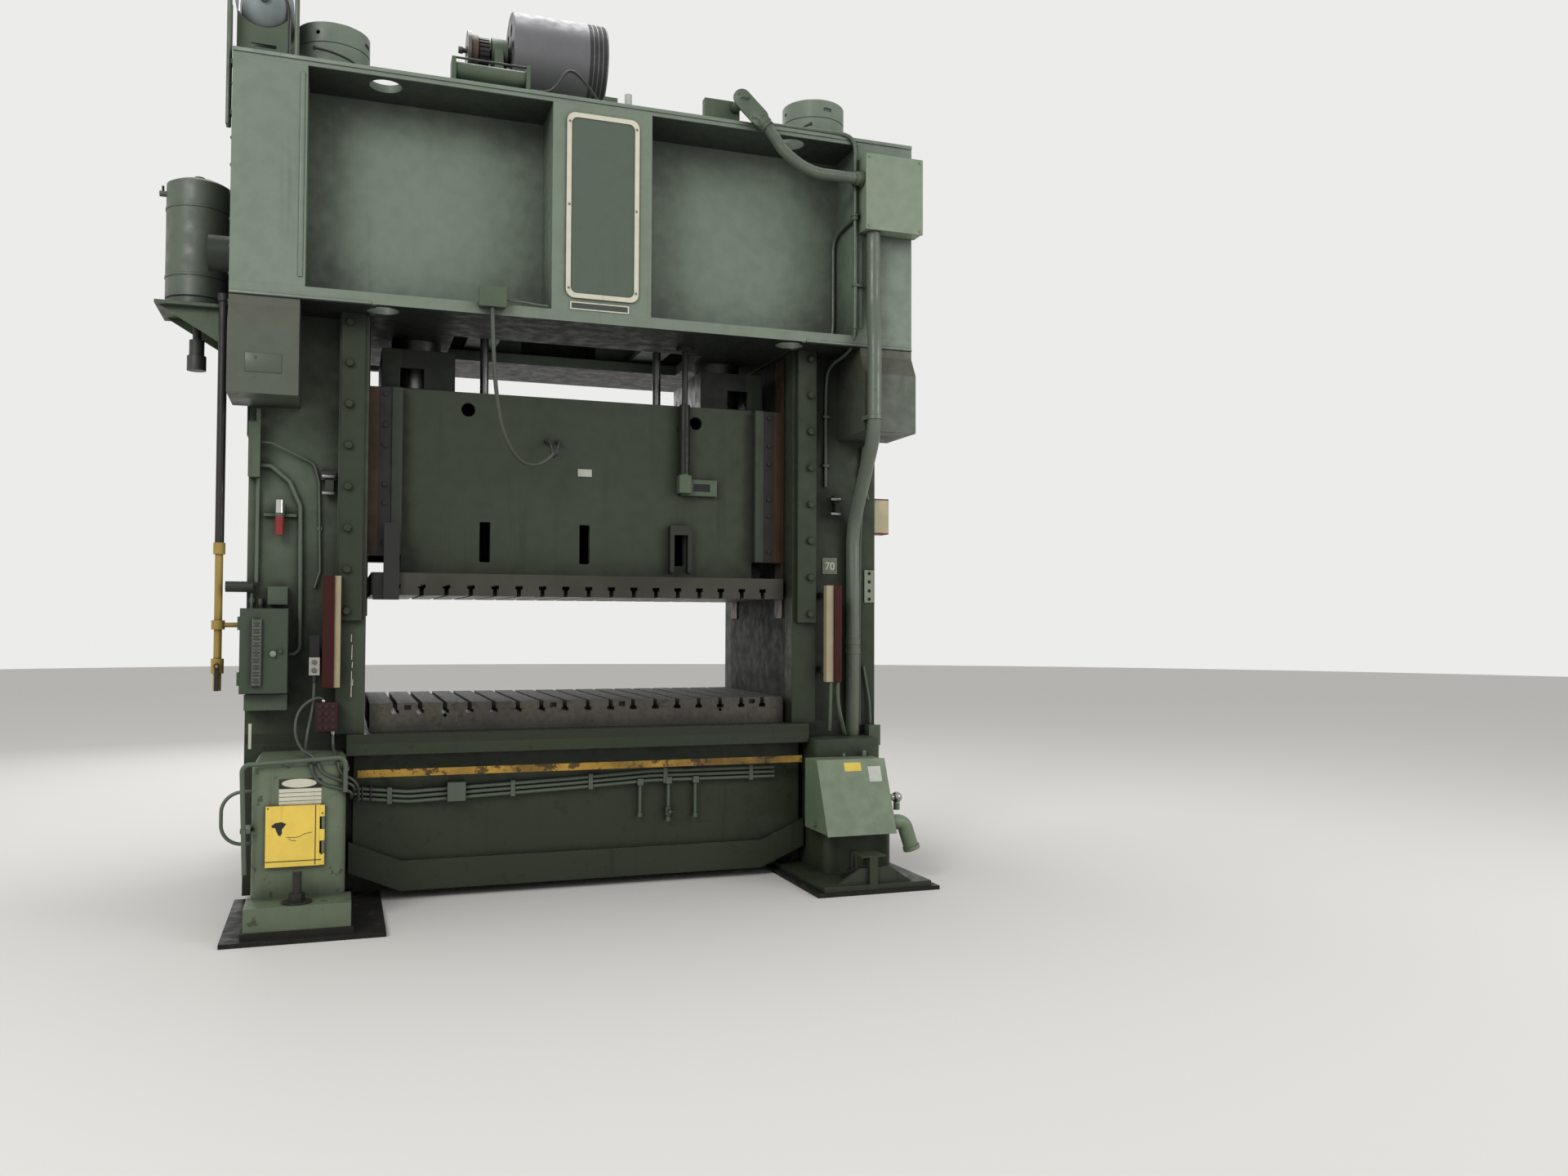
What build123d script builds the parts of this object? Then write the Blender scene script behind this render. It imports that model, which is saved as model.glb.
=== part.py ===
from build123d import *
import math
import os

os.makedirs("parts", exist_ok=True)

# Straight-side press, millimetres. X runs to the right seen from the front, Y to the back, Z up.
# The origin is on the floor, in the middle of the press.

# Bolster and its T-slots
bolster_width = 2743.2
bolster_depth = 1371.6
bolster_thick = 178.0
bolster_top = 1212.0
slot_pitch = 152.4
slot_count = 17
slot_neck = 27.0
slot_neck_depth = 45.0
slot_head = 48.0
slot_head_depth = 24.0

# Frame widths and planes
upright_inner = 1402.0
upright_outer = 2090.0
upright_depth = 1280.0
upright_wall = 34.0
post_outer = 1575.0
post_front = 785.0
strip_thick = 45.0
strip_inner = 1427.0
strip_outer = 1563.0
strip_bottom = 1729.0

# Crown
crown_overhang = 97.0
crown_half = upright_outer + crown_overhang
crown_front = 1050.0
crown_bottom = 3625.0
crown_top = 5080.0
crown_flange = 50.0
crown_floor = 80.0
crown_pad_step = 8.0
crown_wall = 40.0
web_front = 650.0
end_box_inner = 1794.0
bulkhead_x = 1460.0
floor_opening_half = 860.0
floor_opening_depth = 370.0
pilaster_half = 322.0
cover_inner = 1800.0
cover_front = 1120.0
cover_bottom = 3040.0

# Bed and feet
bed_plate_half = 1505.0
bed_plate_front = 850.0
bed_plate_thick = 129.0
bed_web_front = 760.0
bed_flange_front = 800.0
bed_bottom = 58.0
bed_flange_top = 245.0
bed_chamfer_x = 1178.0
bed_chamfer_end = 1487.0
bed_chamfer_rise = 130.0
foot_inner = 1508.0
foot_outer = 2000.0
foot_front = 1420.0
foot_top = 930.0
toe_front = 1650.0
toe_height = 130.0
foot_base = 60.0
sole_thick = 25.0
sole_inner = 1292.0
sole_outer = 2135.0
right_foot_front = 1150.0
right_foot_low = 345.0
right_foot_back = 970.0

# Tie rods
tie_x = 1640.0
tie_y = 540.0
tie_radius = 65.0
tie_hole = 66.0
tie_cap_radius = 222.0
tie_cap_height = 370.0

# Slide, at the height that the photo shows
slide_bottom = 1891.0
slide_plate_thick = 143.0
slide_top = 3234.0
slide_half = 1190.0
slide_front = 520.0
slide_wall = 50.0
knockout_x = 660.0
knockout_width = 70.0
knockout_height = 265.0
knockout_low = 2118.0
shoe_bottom = 2151.0
shoe_top = slide_top - 10
bar_outer = 1255.0
bar_front = 600.0
bar_back = 440.0
upper_inner = 850.0
upper_outer = 1315.0
upper_half = 375.0
upper_low = 3080.0
upper_top = 3520.0
upper_wall = 30.0
window_inner = 1050.0
window_outer = 1200.0
window_low = 3266.0
window_top = 3396.0
body_gap = 0.3
run_gap = 0.05

# Drive
crank_drop = 780.0
crank_z = crown_top - crank_drop
crank_throw = 152.4
crank_angle = 108.0
connection_x = 1080.0
wrist_z = 3400.0
plunger_radius = 165.0
plunger_bore = 145.0
plunger_top = 3950.0
main_gear_radius = 520.0
main_gear_width = 130.0
main_gear_x = 1365.0
cross_pinion_radius = 120.0
cross_y = 220.0
cross_gear_radius = 360.0
idler_radius = 210.0
drive_pinion_radius = 100.0
mesh_gap = 0.6
gear_plane = -650.0
gear_plane_width = 70.0
drive_rise = 665.0
drive_z = crown_top + drive_rise
drum_radius = 300.0
drum_left = -468.0
drum_right = 188.0
motor_y = 760.0
motor_rise = 340.0
motor_z = crown_top + motor_rise
motor_radius = 230.0
motor_pulley_radius = 120.0
belt_thick = 14.0
belt_width = 24.0
belt_count = 4

# Lead to the slide and its terminals
lead_radius = 13.0
lead_bend = 150.0
branch_radius = 5.5
branch_bend = 55.0
terminal_y = -slide_front - 44
terminal_x = (-262.0, -188.0)
terminal_z = 2935.0


# Helpers
def block(x0, x1, y0, y1, z0, z1):
    size = (x1 - x0, y1 - y0, z1 - z0)
    return Pos((x0 + x1) / 2, (y0 + y1) / 2, (z0 + z1) / 2) * Box(*size)


def rod(axis, x, y, z, radius, length):
    turn = {"x": Rot(0, 90, 0), "y": Rot(-90, 0, 0), "z": Rot(0, 0, 0)}[axis]
    shape = Cylinder(radius, length, align=(Align.CENTER, Align.CENTER, Align.MIN))
    return Pos(x, y, z) * turn * shape


def ring(axis, x, y, z, outer, inner, length):
    return rod(axis, x, y, z, outer, length) - rod(axis, x, y, z, inner, length)


def mirror_x(shape):
    return mirror(shape, about=Plane.YZ)


def mirror_y(shape):
    return mirror(shape, about=Plane.XZ)


def four(shape):
    pair = [shape, mirror_x(shape)]
    return pair + [mirror_y(item) for item in pair]


def hose(points, radius):
    # Smooth line from the first point to the last, pulled towards the others
    ends = [points[0]]
    for first, second in zip(points[1:-2], points[2:-1]):
        ends.append(tuple((a + b) / 2 for a, b in zip(first, second)))
    ends.append(points[-1])
    path = Wire([Bezier(start, middle, end) for start, middle, end in zip(ends, points[1:-1], ends[1:])])
    start = Plane(origin=path @ 0, z_dir=path % 0)
    return sweep(start * Circle(radius), path=path)


def pipe(points, radius, bend):
    path = FilletPolyline(*points, radius=bend) if len(points) > 2 else Line(*points)
    start = Plane(origin=path @ 0, z_dir=path % 0)
    return sweep(start * Circle(radius), path=path)


def hex_head(axis, x, y, z, across, height):
    turn = {"x": Rot(0, 90, 0), "y": Rot(-90, 0, 0), "z": Rot(0, 0, 0)}[axis]
    return Pos(x, y, z) * turn * extrude(RegularPolygon(across / math.sqrt(3), 6), height)


def save(name, *shapes):
    solids = []
    for shape in shapes:
        for item in shape if isinstance(shape, list) else [shape]:
            solids.extend(item.solids())
    whole = Compound(children=solids) if len(solids) > 1 else solids[0]
    export_step(whole, os.path.join("parts", name + ".step"))


# Derived places
bed_top = bolster_top - bolster_thick
upright_front = upright_depth / 2
strip_front = post_front + strip_thick
slot_start = -(slot_count - 1) / 2 * slot_pitch
slot_places = [slot_start + slot_pitch * i for i in range(slot_count)]
bolster_half = bolster_width / 2
bolster_front = bolster_depth / 2
floor_z = crown_bottom + crown_floor
roof_z = crown_top - crown_flange


# Bolster: one steel plate with T-slots from front to back
def t_slot(x, face, inward):
    neck_end = face + inward * slot_neck_depth
    head_end = neck_end + inward * slot_head_depth
    over = face - inward * 5
    low, high = sorted((over, neck_end))
    neck = block(x - slot_neck / 2, x + slot_neck / 2, -bolster_depth, bolster_depth, low, high)
    low, high = sorted((neck_end, head_end))
    head = block(x - slot_head / 2, x + slot_head / 2, -bolster_depth, bolster_depth, low, high)
    return neck + head


pocket_width = 42.0
pocket_height = 30.0
pocket_depth = 30.0
lift_hole_radius = 11.0
lift_hole_depth = 60.0
lift_hole_drop = 82.0


def make_bolster():
    plate = block(-bolster_half, bolster_half, -bolster_front, bolster_front, bed_top, bolster_top)
    plate = plate - [t_slot(x, bolster_top, -1) for x in slot_places]
    cuts = []
    for x in (-7.5 * slot_pitch, -1.5 * slot_pitch, 1.5 * slot_pitch, 7.5 * slot_pitch):
        top = bolster_top - 14
        pocket = block(x - pocket_width / 2, x + pocket_width / 2, -bolster_front - 5,
                       -bolster_front + pocket_depth, top - pocket_height, top)
        cuts.append(pocket)
    for x in (-6 * slot_pitch, 6 * slot_pitch):
        z = bolster_top - lift_hole_drop
        cuts.append(rod("y", x, -bolster_front, z, lift_hole_radius, lift_hole_depth))
        cuts.append(rod("y", x, bolster_front - lift_hole_depth, z, lift_hole_radius, lift_hole_depth))
    return plate - cuts


save("bolster", make_bolster())


# Bed: box weldment with a top plate, front and back webs, a chamfered lower flange and end boxes
bed_wall = 50.0
bed_core_half = upright_inner + 60
bottom_nut_radius = 92.0
bottom_nut_height = 120.0
tie_bottom = bed_top - 2 * bed_wall - bottom_nut_height - 20


def make_bed():
    # Welded from plates, each its own solid: top, core ceiling, ribs, webs with their flanges, end boxes
    under = bed_top - bed_plate_thick
    low = bed_bottom
    inner_front = bed_web_front - bed_wall
    top = block(-bed_plate_half, bed_plate_half, -bed_plate_front, bed_plate_front, under, bed_top)
    outline = Polyline((-bed_chamfer_x, low), (bed_chamfer_x, low),
                       (bed_chamfer_end, low + bed_chamfer_rise),
                       (bed_chamfer_end, bed_flange_top + bed_chamfer_rise),
                       (bed_chamfer_x, bed_flange_top), (-bed_chamfer_x, bed_flange_top),
                       (-bed_chamfer_end, bed_flange_top + bed_chamfer_rise),
                       (-bed_chamfer_end, low + bed_chamfer_rise), close=True)
    flange = extrude(Plane.XZ.offset(bed_web_front - 5) * make_face(outline), bed_flange_front - bed_web_front + 5)
    corner = Polyline((bed_chamfer_x, low - 20), (bed_core_half + 1, low - 20),
                      (bed_core_half + 1, low + bed_chamfer_rise), (bed_chamfer_end, low + bed_chamfer_rise),
                      (bed_chamfer_x, low), close=True)
    undercut = extrude(Plane.XZ * make_face(corner), bed_plate_front, both=True)
    cuts = [undercut, mirror_x(undercut)]
    web = block(-bed_core_half, bed_core_half, -bed_web_front, -inner_front, low, under - body_gap)
    web = web - cuts + flange
    reach = inner_front - body_gap
    ceiling = block(-bed_core_half, bed_core_half, -reach, reach, under - bed_wall, under - body_gap)
    rib_top = under - bed_wall - body_gap
    ribs = []
    for x in (-connection_x, 0, connection_x):
        ribs.append(block(x - bed_wall / 2, x + bed_wall / 2, -reach, reach, low + bed_wall, rib_top))
    wall = block(bed_core_half - bed_wall, bed_core_half, -reach, reach, low, rib_top) - cuts
    end = block(bed_core_half + body_gap, upright_outer, -upright_front, upright_front, foot_base, bed_top)
    end = end - block(0, bed_plate_half + body_gap, -bed_plate_front, bed_plate_front,
                      under - body_gap, bed_top + 5)
    ceiling_z = bed_top - 2 * bed_wall
    end = end - block(bed_core_half + bed_wall, upright_outer - upright_wall, -upright_front + upright_wall,
                      upright_front - upright_wall, foot_base - 5, ceiling_z)
    for y in (-tie_y, tie_y):
        end = end - rod("z", tie_x, y, ceiling_z - 5, tie_hole, 3 * bed_wall)
        end = end - rod("z", tie_x, y, tie_bottom - 10, bottom_nut_radius + 1, ceiling_z - tie_bottom + 10)
    return [top, web, mirror_y(web), ceiling, wall, mirror_x(wall), end, mirror_x(end)] + ribs


save("bed", *make_bed())


# Uprights: box columns with a guide post at each inner corner
upright_top = crown_bottom


def make_upright():
    shell = block(upright_inner, upright_outer, -upright_front, upright_front, bed_top, upright_top)
    room = block(upright_inner + upright_wall, upright_outer - upright_wall, -upright_front + upright_wall,
                 upright_front - upright_wall, bed_top - 5, upright_top + 5)
    post = block(upright_inner, post_outer, -post_front, -upright_front, bed_top, upright_top)
    return shell - room + post + mirror_y(post)


right_upright = make_upright()
save("right_upright", right_upright)
save("left_upright", mirror_x(right_upright))


# Gib retaining strips and their bolts
strip_top = crown_bottom - body_gap
strip_bolt_x = 1517.0
strip_bolt_low = 1788.0
strip_bolt_pitch = 254.0
strip_bolt_count = 8
strip_bolt_radius = 23.0
strip_bolt_height = 26.0


def make_strip():
    return block(strip_inner, strip_outer, -strip_front, -post_front, strip_bottom, strip_top)


save("gib_strips", four(make_strip()))

bolts = []
for i in range(strip_bolt_count):
    z = strip_bolt_low + strip_bolt_pitch * i
    height = strip_bolt_height
    head = rod("y", strip_bolt_x, -strip_front - height, z, strip_bolt_radius, height)
    head = chamfer(head.edges().filter_by(GeomType.CIRCLE).sort_by(Axis.Y)[0], 4)
    bolts.extend(four(head))
save("gib_strip_bolts", bolts)


# Guide ways on the posts and bronze bushings in the crown floor
way_thick = 11.0
way_bottom = 1760.0
way_top = 3600.0
way_front = 600.0
way_back = 450.0
bushing_wall = 20.0
balance_x = 620.0
balance_radius = 30.0
piston_radius = 80.0
piston_height = 60.0
barrel_wall = 15.0
barrel_length = 520.0
beam_low = 3720.0
beam_thick = 40.0
beam_half = 110.0


def make_frame_guides():
    way = block(upright_inner - way_thick, upright_inner, -way_front, -way_back, way_bottom, way_top)
    bush = ring("z", connection_x, 0, crown_bottom + crown_pad_step, plunger_radius + bushing_wall,
                plunger_radius + run_gap, crown_floor + 60)
    barrel = ring("z", balance_x, 0, beam_low + beam_thick, piston_radius + barrel_wall,
                  piston_radius + run_gap, barrel_length)
    return four(way) + [bush, mirror_x(bush), barrel, mirror_x(barrel)]


save("frame_guides", make_frame_guides())


# Crown: box weldment with wide flanges, recessed webs, a centre pilaster and end boxes
lift_x = 1330.0
lift_y = 905.0
lift_radius = 97.0
gear_slot_half = 50.0
gear_slot_reach = 390.0
shaft_radius = 90.0
cross_shaft_radius = 60.0


def meshing(y0, z0, r0, y1, z1, r1):
    # Centre of a gear that touches two others, taken on the back side
    dy = y1 - y0
    dz = z1 - z0
    span = math.hypot(dy, dz)
    along = (span * span + r0 * r0 - r1 * r1) / (2 * span)
    aside = math.sqrt(r0 * r0 - along * along)
    return y0 + along * dy / span + aside * dz / span, z0 + along * dz / span - aside * dy / span


cross_reach = main_gear_radius + cross_pinion_radius
cross_z = crank_z + math.sqrt(cross_reach ** 2 - cross_y ** 2)
idler_y, idler_z = meshing(cross_y, cross_z, cross_gear_radius + idler_radius,
                           0, drive_z, drive_pinion_radius + idler_radius)
print("cross shaft", round(cross_y, 1), round(cross_z, 1), "idler", round(idler_y, 1), round(idler_z, 1))


def make_crown():
    # Welded from plates, each its own solid: roof, floor, webs, pilasters, bulkheads, end boxes, beams
    wall = crown_wall
    low = floor_z + body_gap
    high = roof_z - body_gap
    inner = web_front - wall
    end_start = end_box_inner - wall / 2
    roof = block(-crown_half, crown_half, -crown_front, crown_front, roof_z, crown_top)
    floor = block(-crown_half, crown_half, -crown_front, crown_front, crown_bottom, floor_z)
    relief = block(-bolster_half, bolster_half, -crown_front - 5, crown_front + 5,
                   crown_bottom - 5, crown_bottom + crown_pad_step)
    holes = four(rod("z", tie_x, tie_y, crown_bottom - 5, tie_hole, crown_top))
    holes += four(rod("z", lift_x, -lift_y, crown_bottom - 5, lift_radius, crown_top))
    roof = roof - holes - block(gear_plane - gear_slot_half, gear_plane + gear_slot_half,
                                cross_y - gear_slot_reach, cross_y + gear_slot_reach, roof_z - 5, crown_top + 5)
    floor = floor - relief - holes - block(-floor_opening_half, floor_opening_half, -floor_opening_depth,
                                           floor_opening_depth, crown_bottom - 5, floor_z + 5)
    for x in (-connection_x, connection_x):
        floor = floor - rod("z", x, 0, crown_bottom - 5, plunger_radius + bushing_wall, crown_floor + 10)
    web = block(pilaster_half + body_gap, end_start - body_gap, -web_front, -inner, low, high)
    pilaster = block(-pilaster_half, pilaster_half, -crown_front, -inner, low, high)
    pilaster = pilaster - block(-pilaster_half + wall, pilaster_half - wall, -crown_front + wall,
                                -inner + 5, low - 5, high + 5)
    reach = inner - body_gap
    bulkhead = block(bulkhead_x, bulkhead_x + wall, -reach, reach, low, high)
    end_box = block(end_start, crown_half, -crown_front, crown_front, low, high)
    end_box = end_box - block(end_box_inner + wall / 2, crown_half - wall, -crown_front + wall,
                              crown_front - wall, low - 5, high + 5)
    end_box = end_box - block(crown_half - wall - 5, crown_half + 5, -150, 150, crank_z - 200, crank_z + 200)
    length = end_box_inner + wall - bulkhead_x + 10
    bores = [rod("x", bulkhead_x - 10, 0, crank_z, shaft_radius + run_gap, length),
             rod("x", bulkhead_x - 10, cross_y, cross_z, cross_shaft_radius + run_gap, length)]
    bulkhead = bulkhead - bores
    end_box = end_box - bores
    beam = block(balance_x - beam_half, balance_x + beam_half, -reach, reach, beam_low, beam_low + beam_thick)
    beam = beam - rod("z", balance_x, 0, beam_low - 5, balance_radius + body_gap, beam_thick + 10)
    return [roof, floor, four(web), pilaster, mirror_y(pilaster), bulkhead, mirror_x(bulkhead),
            end_box, mirror_x(end_box), beam, mirror_x(beam)]


save("crown", *make_crown())


# Corner covers that hang under the crown ends, bulged out below a slope
cover_wall = 8.0
cover_slope_top = 3570.0
cover_slope_low = 3440.0


def make_corner_cover():
    top = crown_bottom - body_gap
    back = upright_front + body_gap

    def profile(inset):
        return Polyline((-back, top + inset), (-crown_front + inset, top + inset),
                        (-crown_front + inset, cover_slope_top), (-cover_front + inset, cover_slope_low),
                        (-cover_front + inset, cover_bottom + inset), (-back, cover_bottom + inset),
                        close=True)

    outer = extrude(Plane.YZ.offset(cover_inner) * make_face(profile(0)), crown_half - cover_inner)
    inner = extrude(Plane.YZ.offset(cover_inner + cover_wall) * make_face(profile(cover_wall)),
                    crown_half - cover_inner - 2 * cover_wall)
    return outer - inner


save("crown_corner_covers", four(make_corner_cover()))


# Tie rods, their bottom nuts and the round nut caps on the crown
tie_top = crown_top + 260
top_nut_radius = 130.0
top_nut_height = 180.0
cap_wall = 14.0
cap_seam = 235.0
cap_pin_radius = 13.0
cap_pin_height = 300.0
cap_turns = {-1: 66.0, 1: 7.0}


def make_tie_rods():
    return four(rod("z", tie_x, tie_y, tie_bottom, tie_radius, tie_top - tie_bottom))


def make_tie_nuts():
    low = ring("z", tie_x, tie_y, bed_top - 2 * bed_wall - bottom_nut_height, bottom_nut_radius,
               tie_radius, bottom_nut_height)
    high = ring("z", tie_x, tie_y, crown_top, top_nut_radius, tie_radius, top_nut_height)
    cap = rod("z", 0, 0, crown_top, tie_cap_radius, tie_cap_height)
    cap = chamfer(cap.edges().filter_by(GeomType.CIRCLE).sort_by(Axis.Z)[-1], 6)
    groove = ring("z", 0, 0, crown_top + cap_seam, tie_cap_radius + 5, tie_cap_radius - 4, 8)
    inside = rod("z", 0, 0, crown_top, tie_cap_radius - cap_wall, tie_cap_height - cap_wall)
    cap = cap - groove - inside
    for angle in (0, 90, 180, 270):
        turn = math.radians(angle)
        x = tie_cap_radius * math.cos(turn)
        y = tie_cap_radius * math.sin(turn)
        cap = cap - Pos(x, y, crown_top + cap_pin_height) * Rot(0, 90, angle) * Cylinder(cap_pin_radius, 60)
    caps = [Pos(side * tie_x, face * tie_y, 0) * Rot(0, 0, cap_turns[side]) * cap
            for side in (-1, 1) for face in (-1, 1)]
    return four(low) + four(high) + caps


save("tie_rods", make_tie_rods())
save("tie_rod_nuts", make_tie_nuts())


# Feet
foot_round = 60.0
foot_wall = 30.0
door_width = 310.0
door_height = 335.0
door_centre_x = -1770.0
door_low = 365.0
door_thick = 6.0
door_stand = 26.0
stud_x = 1755.0
stud_y = 1560.0
stud_radius = 24.0
stud_bore = 28.0


def foot_box(front, top):
    outline = Pos((foot_inner + foot_outer) / 2, -(front + upright_front) / 2) * Rectangle(
        foot_outer - foot_inner, front - upright_front)
    corners = outline.vertices().filter_by_position(Axis.Y, -front - 1, -front + 1)
    outline = fillet(corners, foot_round)
    return Pos(0, 0, foot_base) * extrude(outline, top - foot_base)


def make_front_foot():
    body = foot_box(foot_front, foot_top)
    edges = body.edges().filter_by_position(Axis.Z, foot_top - 1, foot_top + 1)
    body = chamfer(edges.filter_by(lambda e: e.center().Y < -upright_front - 10), 18)
    toe = block(foot_inner - 33, foot_outer + 20, -toe_front, -foot_front + foot_round + 5,
                foot_base, foot_base + toe_height)
    body = body + toe
    room = block(foot_inner + foot_wall, foot_outer - foot_wall, -foot_front + foot_wall, -upright_front,
                 foot_base + toe_height, foot_top - foot_wall)
    return mirror_x(body - room)


front_left_foot = make_front_foot()
opening_inset = 25.0
door_left = door_centre_x - door_width / 2
door_right = door_centre_x + door_width / 2
hinge_x = door_right - 12
hinge_y = -foot_front - 16
knuckle_radius = 9.0
hinge_radius = 6.0
knuckle_count = 5
door_hole = block(door_left + opening_inset, door_right - opening_inset, -foot_front - 5,
                  -foot_front + foot_wall + 5, door_low + opening_inset,
                  door_low + door_height - opening_inset)
stud_hole = rod("z", -stud_x, -stud_y, foot_base - 5, stud_bore, toe_height + 10)
front_left_foot = front_left_foot - door_hole - stud_hole


def hinge_part(first, gap_end):
    # Every second knuckle of the door hinge, counted from the bottom
    step = door_height / knuckle_count
    parts = []
    for i in range(first, knuckle_count, 2):
        low = door_low + i * step + 1.5
        length = step - 3
        knuckle = rod("z", hinge_x, hinge_y, low, knuckle_radius, length)
        x0, x1 = sorted((hinge_x, gap_end))
        arm = block(x0, x1, hinge_y - knuckle_radius, hinge_y, low, low + length)
        parts.append(knuckle + arm)
    return parts


def fixed_hinge():
    step = door_height / knuckle_count
    pin = rod("z", hinge_x, hinge_y, door_low, hinge_radius, door_height)
    for i in range(1, knuckle_count, 2):
        low = door_low + i * step + 1.5
        pin = pin + rod("z", hinge_x, hinge_y, low, knuckle_radius, step - 3)
        pin = pin + block(hinge_x - knuckle_radius, hinge_x + knuckle_radius, hinge_y, -foot_front + 2,
                          low, low + step - 3)
    return pin


front_left_foot = front_left_foot + fixed_hinge()

right_toe_front = 1572.0
right_toe_left = 1338.0
right_toe_right = 2080.0
fan_thick = 25.0
fan_height = 100.0
fan_low = (1435.0, 1955.0)
fan_high = (1595.0, 1805.0)
post_left = 1650.0
post_right = 1706.0
post_depth = 110.0
post_height = 169.0
post_cap = 12.0
post_cap_over = 60.0
right_stud_x = 1645.0
right_stud_y = 1300.0


def make_right_foot():
    body = foot_box(right_foot_front, right_foot_low) + foot_box(right_foot_back, foot_top)
    base = block(right_toe_left, right_toe_right, -right_toe_front, -upright_front, sole_thick, foot_base)
    low = foot_base
    front = right_toe_front - 5
    fan = Polyline((fan_low[0], low), (fan_low[1], low), (fan_high[1], low + fan_height),
                   (fan_high[0], low + fan_height), close=True)
    fan = extrude(Plane.XZ.offset(front - 2 * fan_thick) * make_face(fan), fan_thick)
    top = low + post_height
    post = block(post_left, post_right, -front, -front + post_depth, low, top)
    post = post + block(post_left - post_cap_over, post_right + post_cap_over, -front,
                        -front + post_depth + post_cap_over, top, top + post_cap)
    room = block(foot_inner + foot_wall, foot_outer - foot_wall, -right_foot_front + foot_wall,
                 -upright_front, low, right_foot_low - foot_wall)
    room = room + block(foot_inner + foot_wall, foot_outer - foot_wall, -right_foot_back + foot_wall,
                        -upright_front, low, foot_top - foot_wall)
    hole = rod("z", right_stud_x, -right_stud_y, sole_thick - 5, stud_bore, foot_base - sole_thick + 10)
    return body + base + fan + post - room - hole


def make_rear_foot():
    body = mirror_x(mirror_y(make_front_foot()))
    return body - rod("z", stud_x, stud_y, foot_base - 5, stud_bore, toe_height + 10)


rear_foot = make_rear_foot()
save("front_left_foot", front_left_foot)
save("front_right_foot", make_right_foot())
save("rear_feet", rear_foot, mirror_x(rear_foot))


# Sole plates and shims under the feet
def make_soles():
    shim_top = foot_base
    plates = []
    for side, front in ((-1, 1700), (1, 1585)):
        low, high = sorted((side * sole_inner, side * sole_outer))
        plates.append(block(low, high, -front, -560, 0, sole_thick))
        low, high = sorted((side * (foot_inner - 48), side * (foot_outer + 35)))
        if side < 0:
            plates.append(block(low, high, -toe_front - 12, -600, sole_thick, shim_top))
        low, high = sorted((side * sole_inner, side * sole_outer))
        plates.append(block(low, high, 560, 1700, 0, sole_thick))
        low, high = sorted((side * (foot_inner - 48), side * (foot_outer + 35)))
        plates.append(block(low, high, 600, toe_front + 12, sole_thick, shim_top))
    return plates


stud_length = 170.0
nut_across = 75.0
nut_height = 42.0
washer_radius = 78.0
washer_height = 10.0


def anchor(x, y, low, seat):
    stud = rod("z", x, y, low, stud_radius, seat - low + stud_length)
    washer = ring("z", x, y, seat, washer_radius, stud_radius + 0.5, washer_height)
    nut = hex_head("z", x, y, seat + washer_height, nut_across, nut_height)
    nut = nut - rod("z", x, y, seat + washer_height - 1, stud_radius, nut_height + 2)
    return [stud, washer, nut]


toe_top = foot_base + toe_height
save("sole_plates", make_soles())
save("anchor_bolts", anchor(-stud_x, -stud_y, foot_base, toe_top), anchor(-stud_x, stud_y, foot_base, toe_top),
     anchor(stud_x, stud_y, foot_base, toe_top), anchor(right_stud_x, -right_stud_y, sole_thick, foot_base))


# Foot door: a sheet pan hinged at its right edge
def make_foot_door():
    face = -foot_front
    pan_right = hinge_x - 18
    pan = block(door_left, pan_right, face - door_stand, face - 1.5, door_low, door_low + door_height)
    inside = block(door_left + door_thick, pan_right - door_thick, face - door_stand + door_thick,
                   face, door_low + door_thick, door_low + door_height - door_thick)
    body = pan - inside + hinge_part(0, pan_right - 2)
    bore = rod("z", hinge_x, hinge_y, door_low - 5, hinge_radius + run_gap, door_height + 10)
    return body - bore


foot_door = make_foot_door()
save("foot_door", foot_door)


# Slide: box weldment with knock-out slots, open at the top for the plungers
def make_upper_box():
    # Box round the plunger foot, with a square window in front and behind
    body = block(upper_inner, slide_half, -upper_half, upper_half, slide_top, upper_top)
    body = body + block(slide_half, upper_outer, -upper_half, upper_half, upper_low, upper_top)
    room = block(upper_inner + upper_wall, upper_outer - upper_wall, -upper_half + upper_wall,
                 upper_half - upper_wall, slide_top, upper_top - upper_wall)
    hole = rod("z", connection_x, 0, upper_top - upper_wall - 5, plunger_radius + body_gap, upper_wall + 10)
    window = block(window_inner, window_outer, -upper_half - 5, upper_half + 5, window_low, window_top)
    return body - room - hole - window


def make_edge_bar():
    bar = block(slide_half, bar_outer, -bar_front, -bar_back, shoe_bottom, shoe_top)
    return bar + block(slide_half, bar_outer, -bar_back, 0, shoe_bottom + 200, shoe_bottom + 400)


def make_slide():
    low = slide_bottom + slide_plate_thick
    body = block(-slide_half, slide_half, -slide_front, slide_front, low, slide_top)
    room = block(-slide_half + slide_wall, slide_half - slide_wall, -slide_front + slide_wall,
                 slide_front - slide_wall, low + slide_wall, slide_top - slide_wall)
    body = body - room
    cuts = []
    for x in (-knockout_x, 0, knockout_x):
        slot = block(x - knockout_width / 2, x + knockout_width / 2, -slide_front - 5, slide_front + 5,
                     knockout_low, knockout_low + knockout_height)
        slot = fillet(slot.edges().filter_by(Axis.Y), 8)
        cuts.append(slot)
    for x in (-775, 775):
        cuts.append(rod("y", x, -slide_front - 5, 3120, 45, slide_wall + 10))
    for x in (-connection_x, connection_x):
        cuts.append(rod("z", x, 0, slide_top - slide_wall - 5, plunger_bore, slide_wall + 10))
    upper = make_upper_box()
    bars = four(make_edge_bar())
    return body - cuts + upper + mirror_x(upper) + bars


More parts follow.
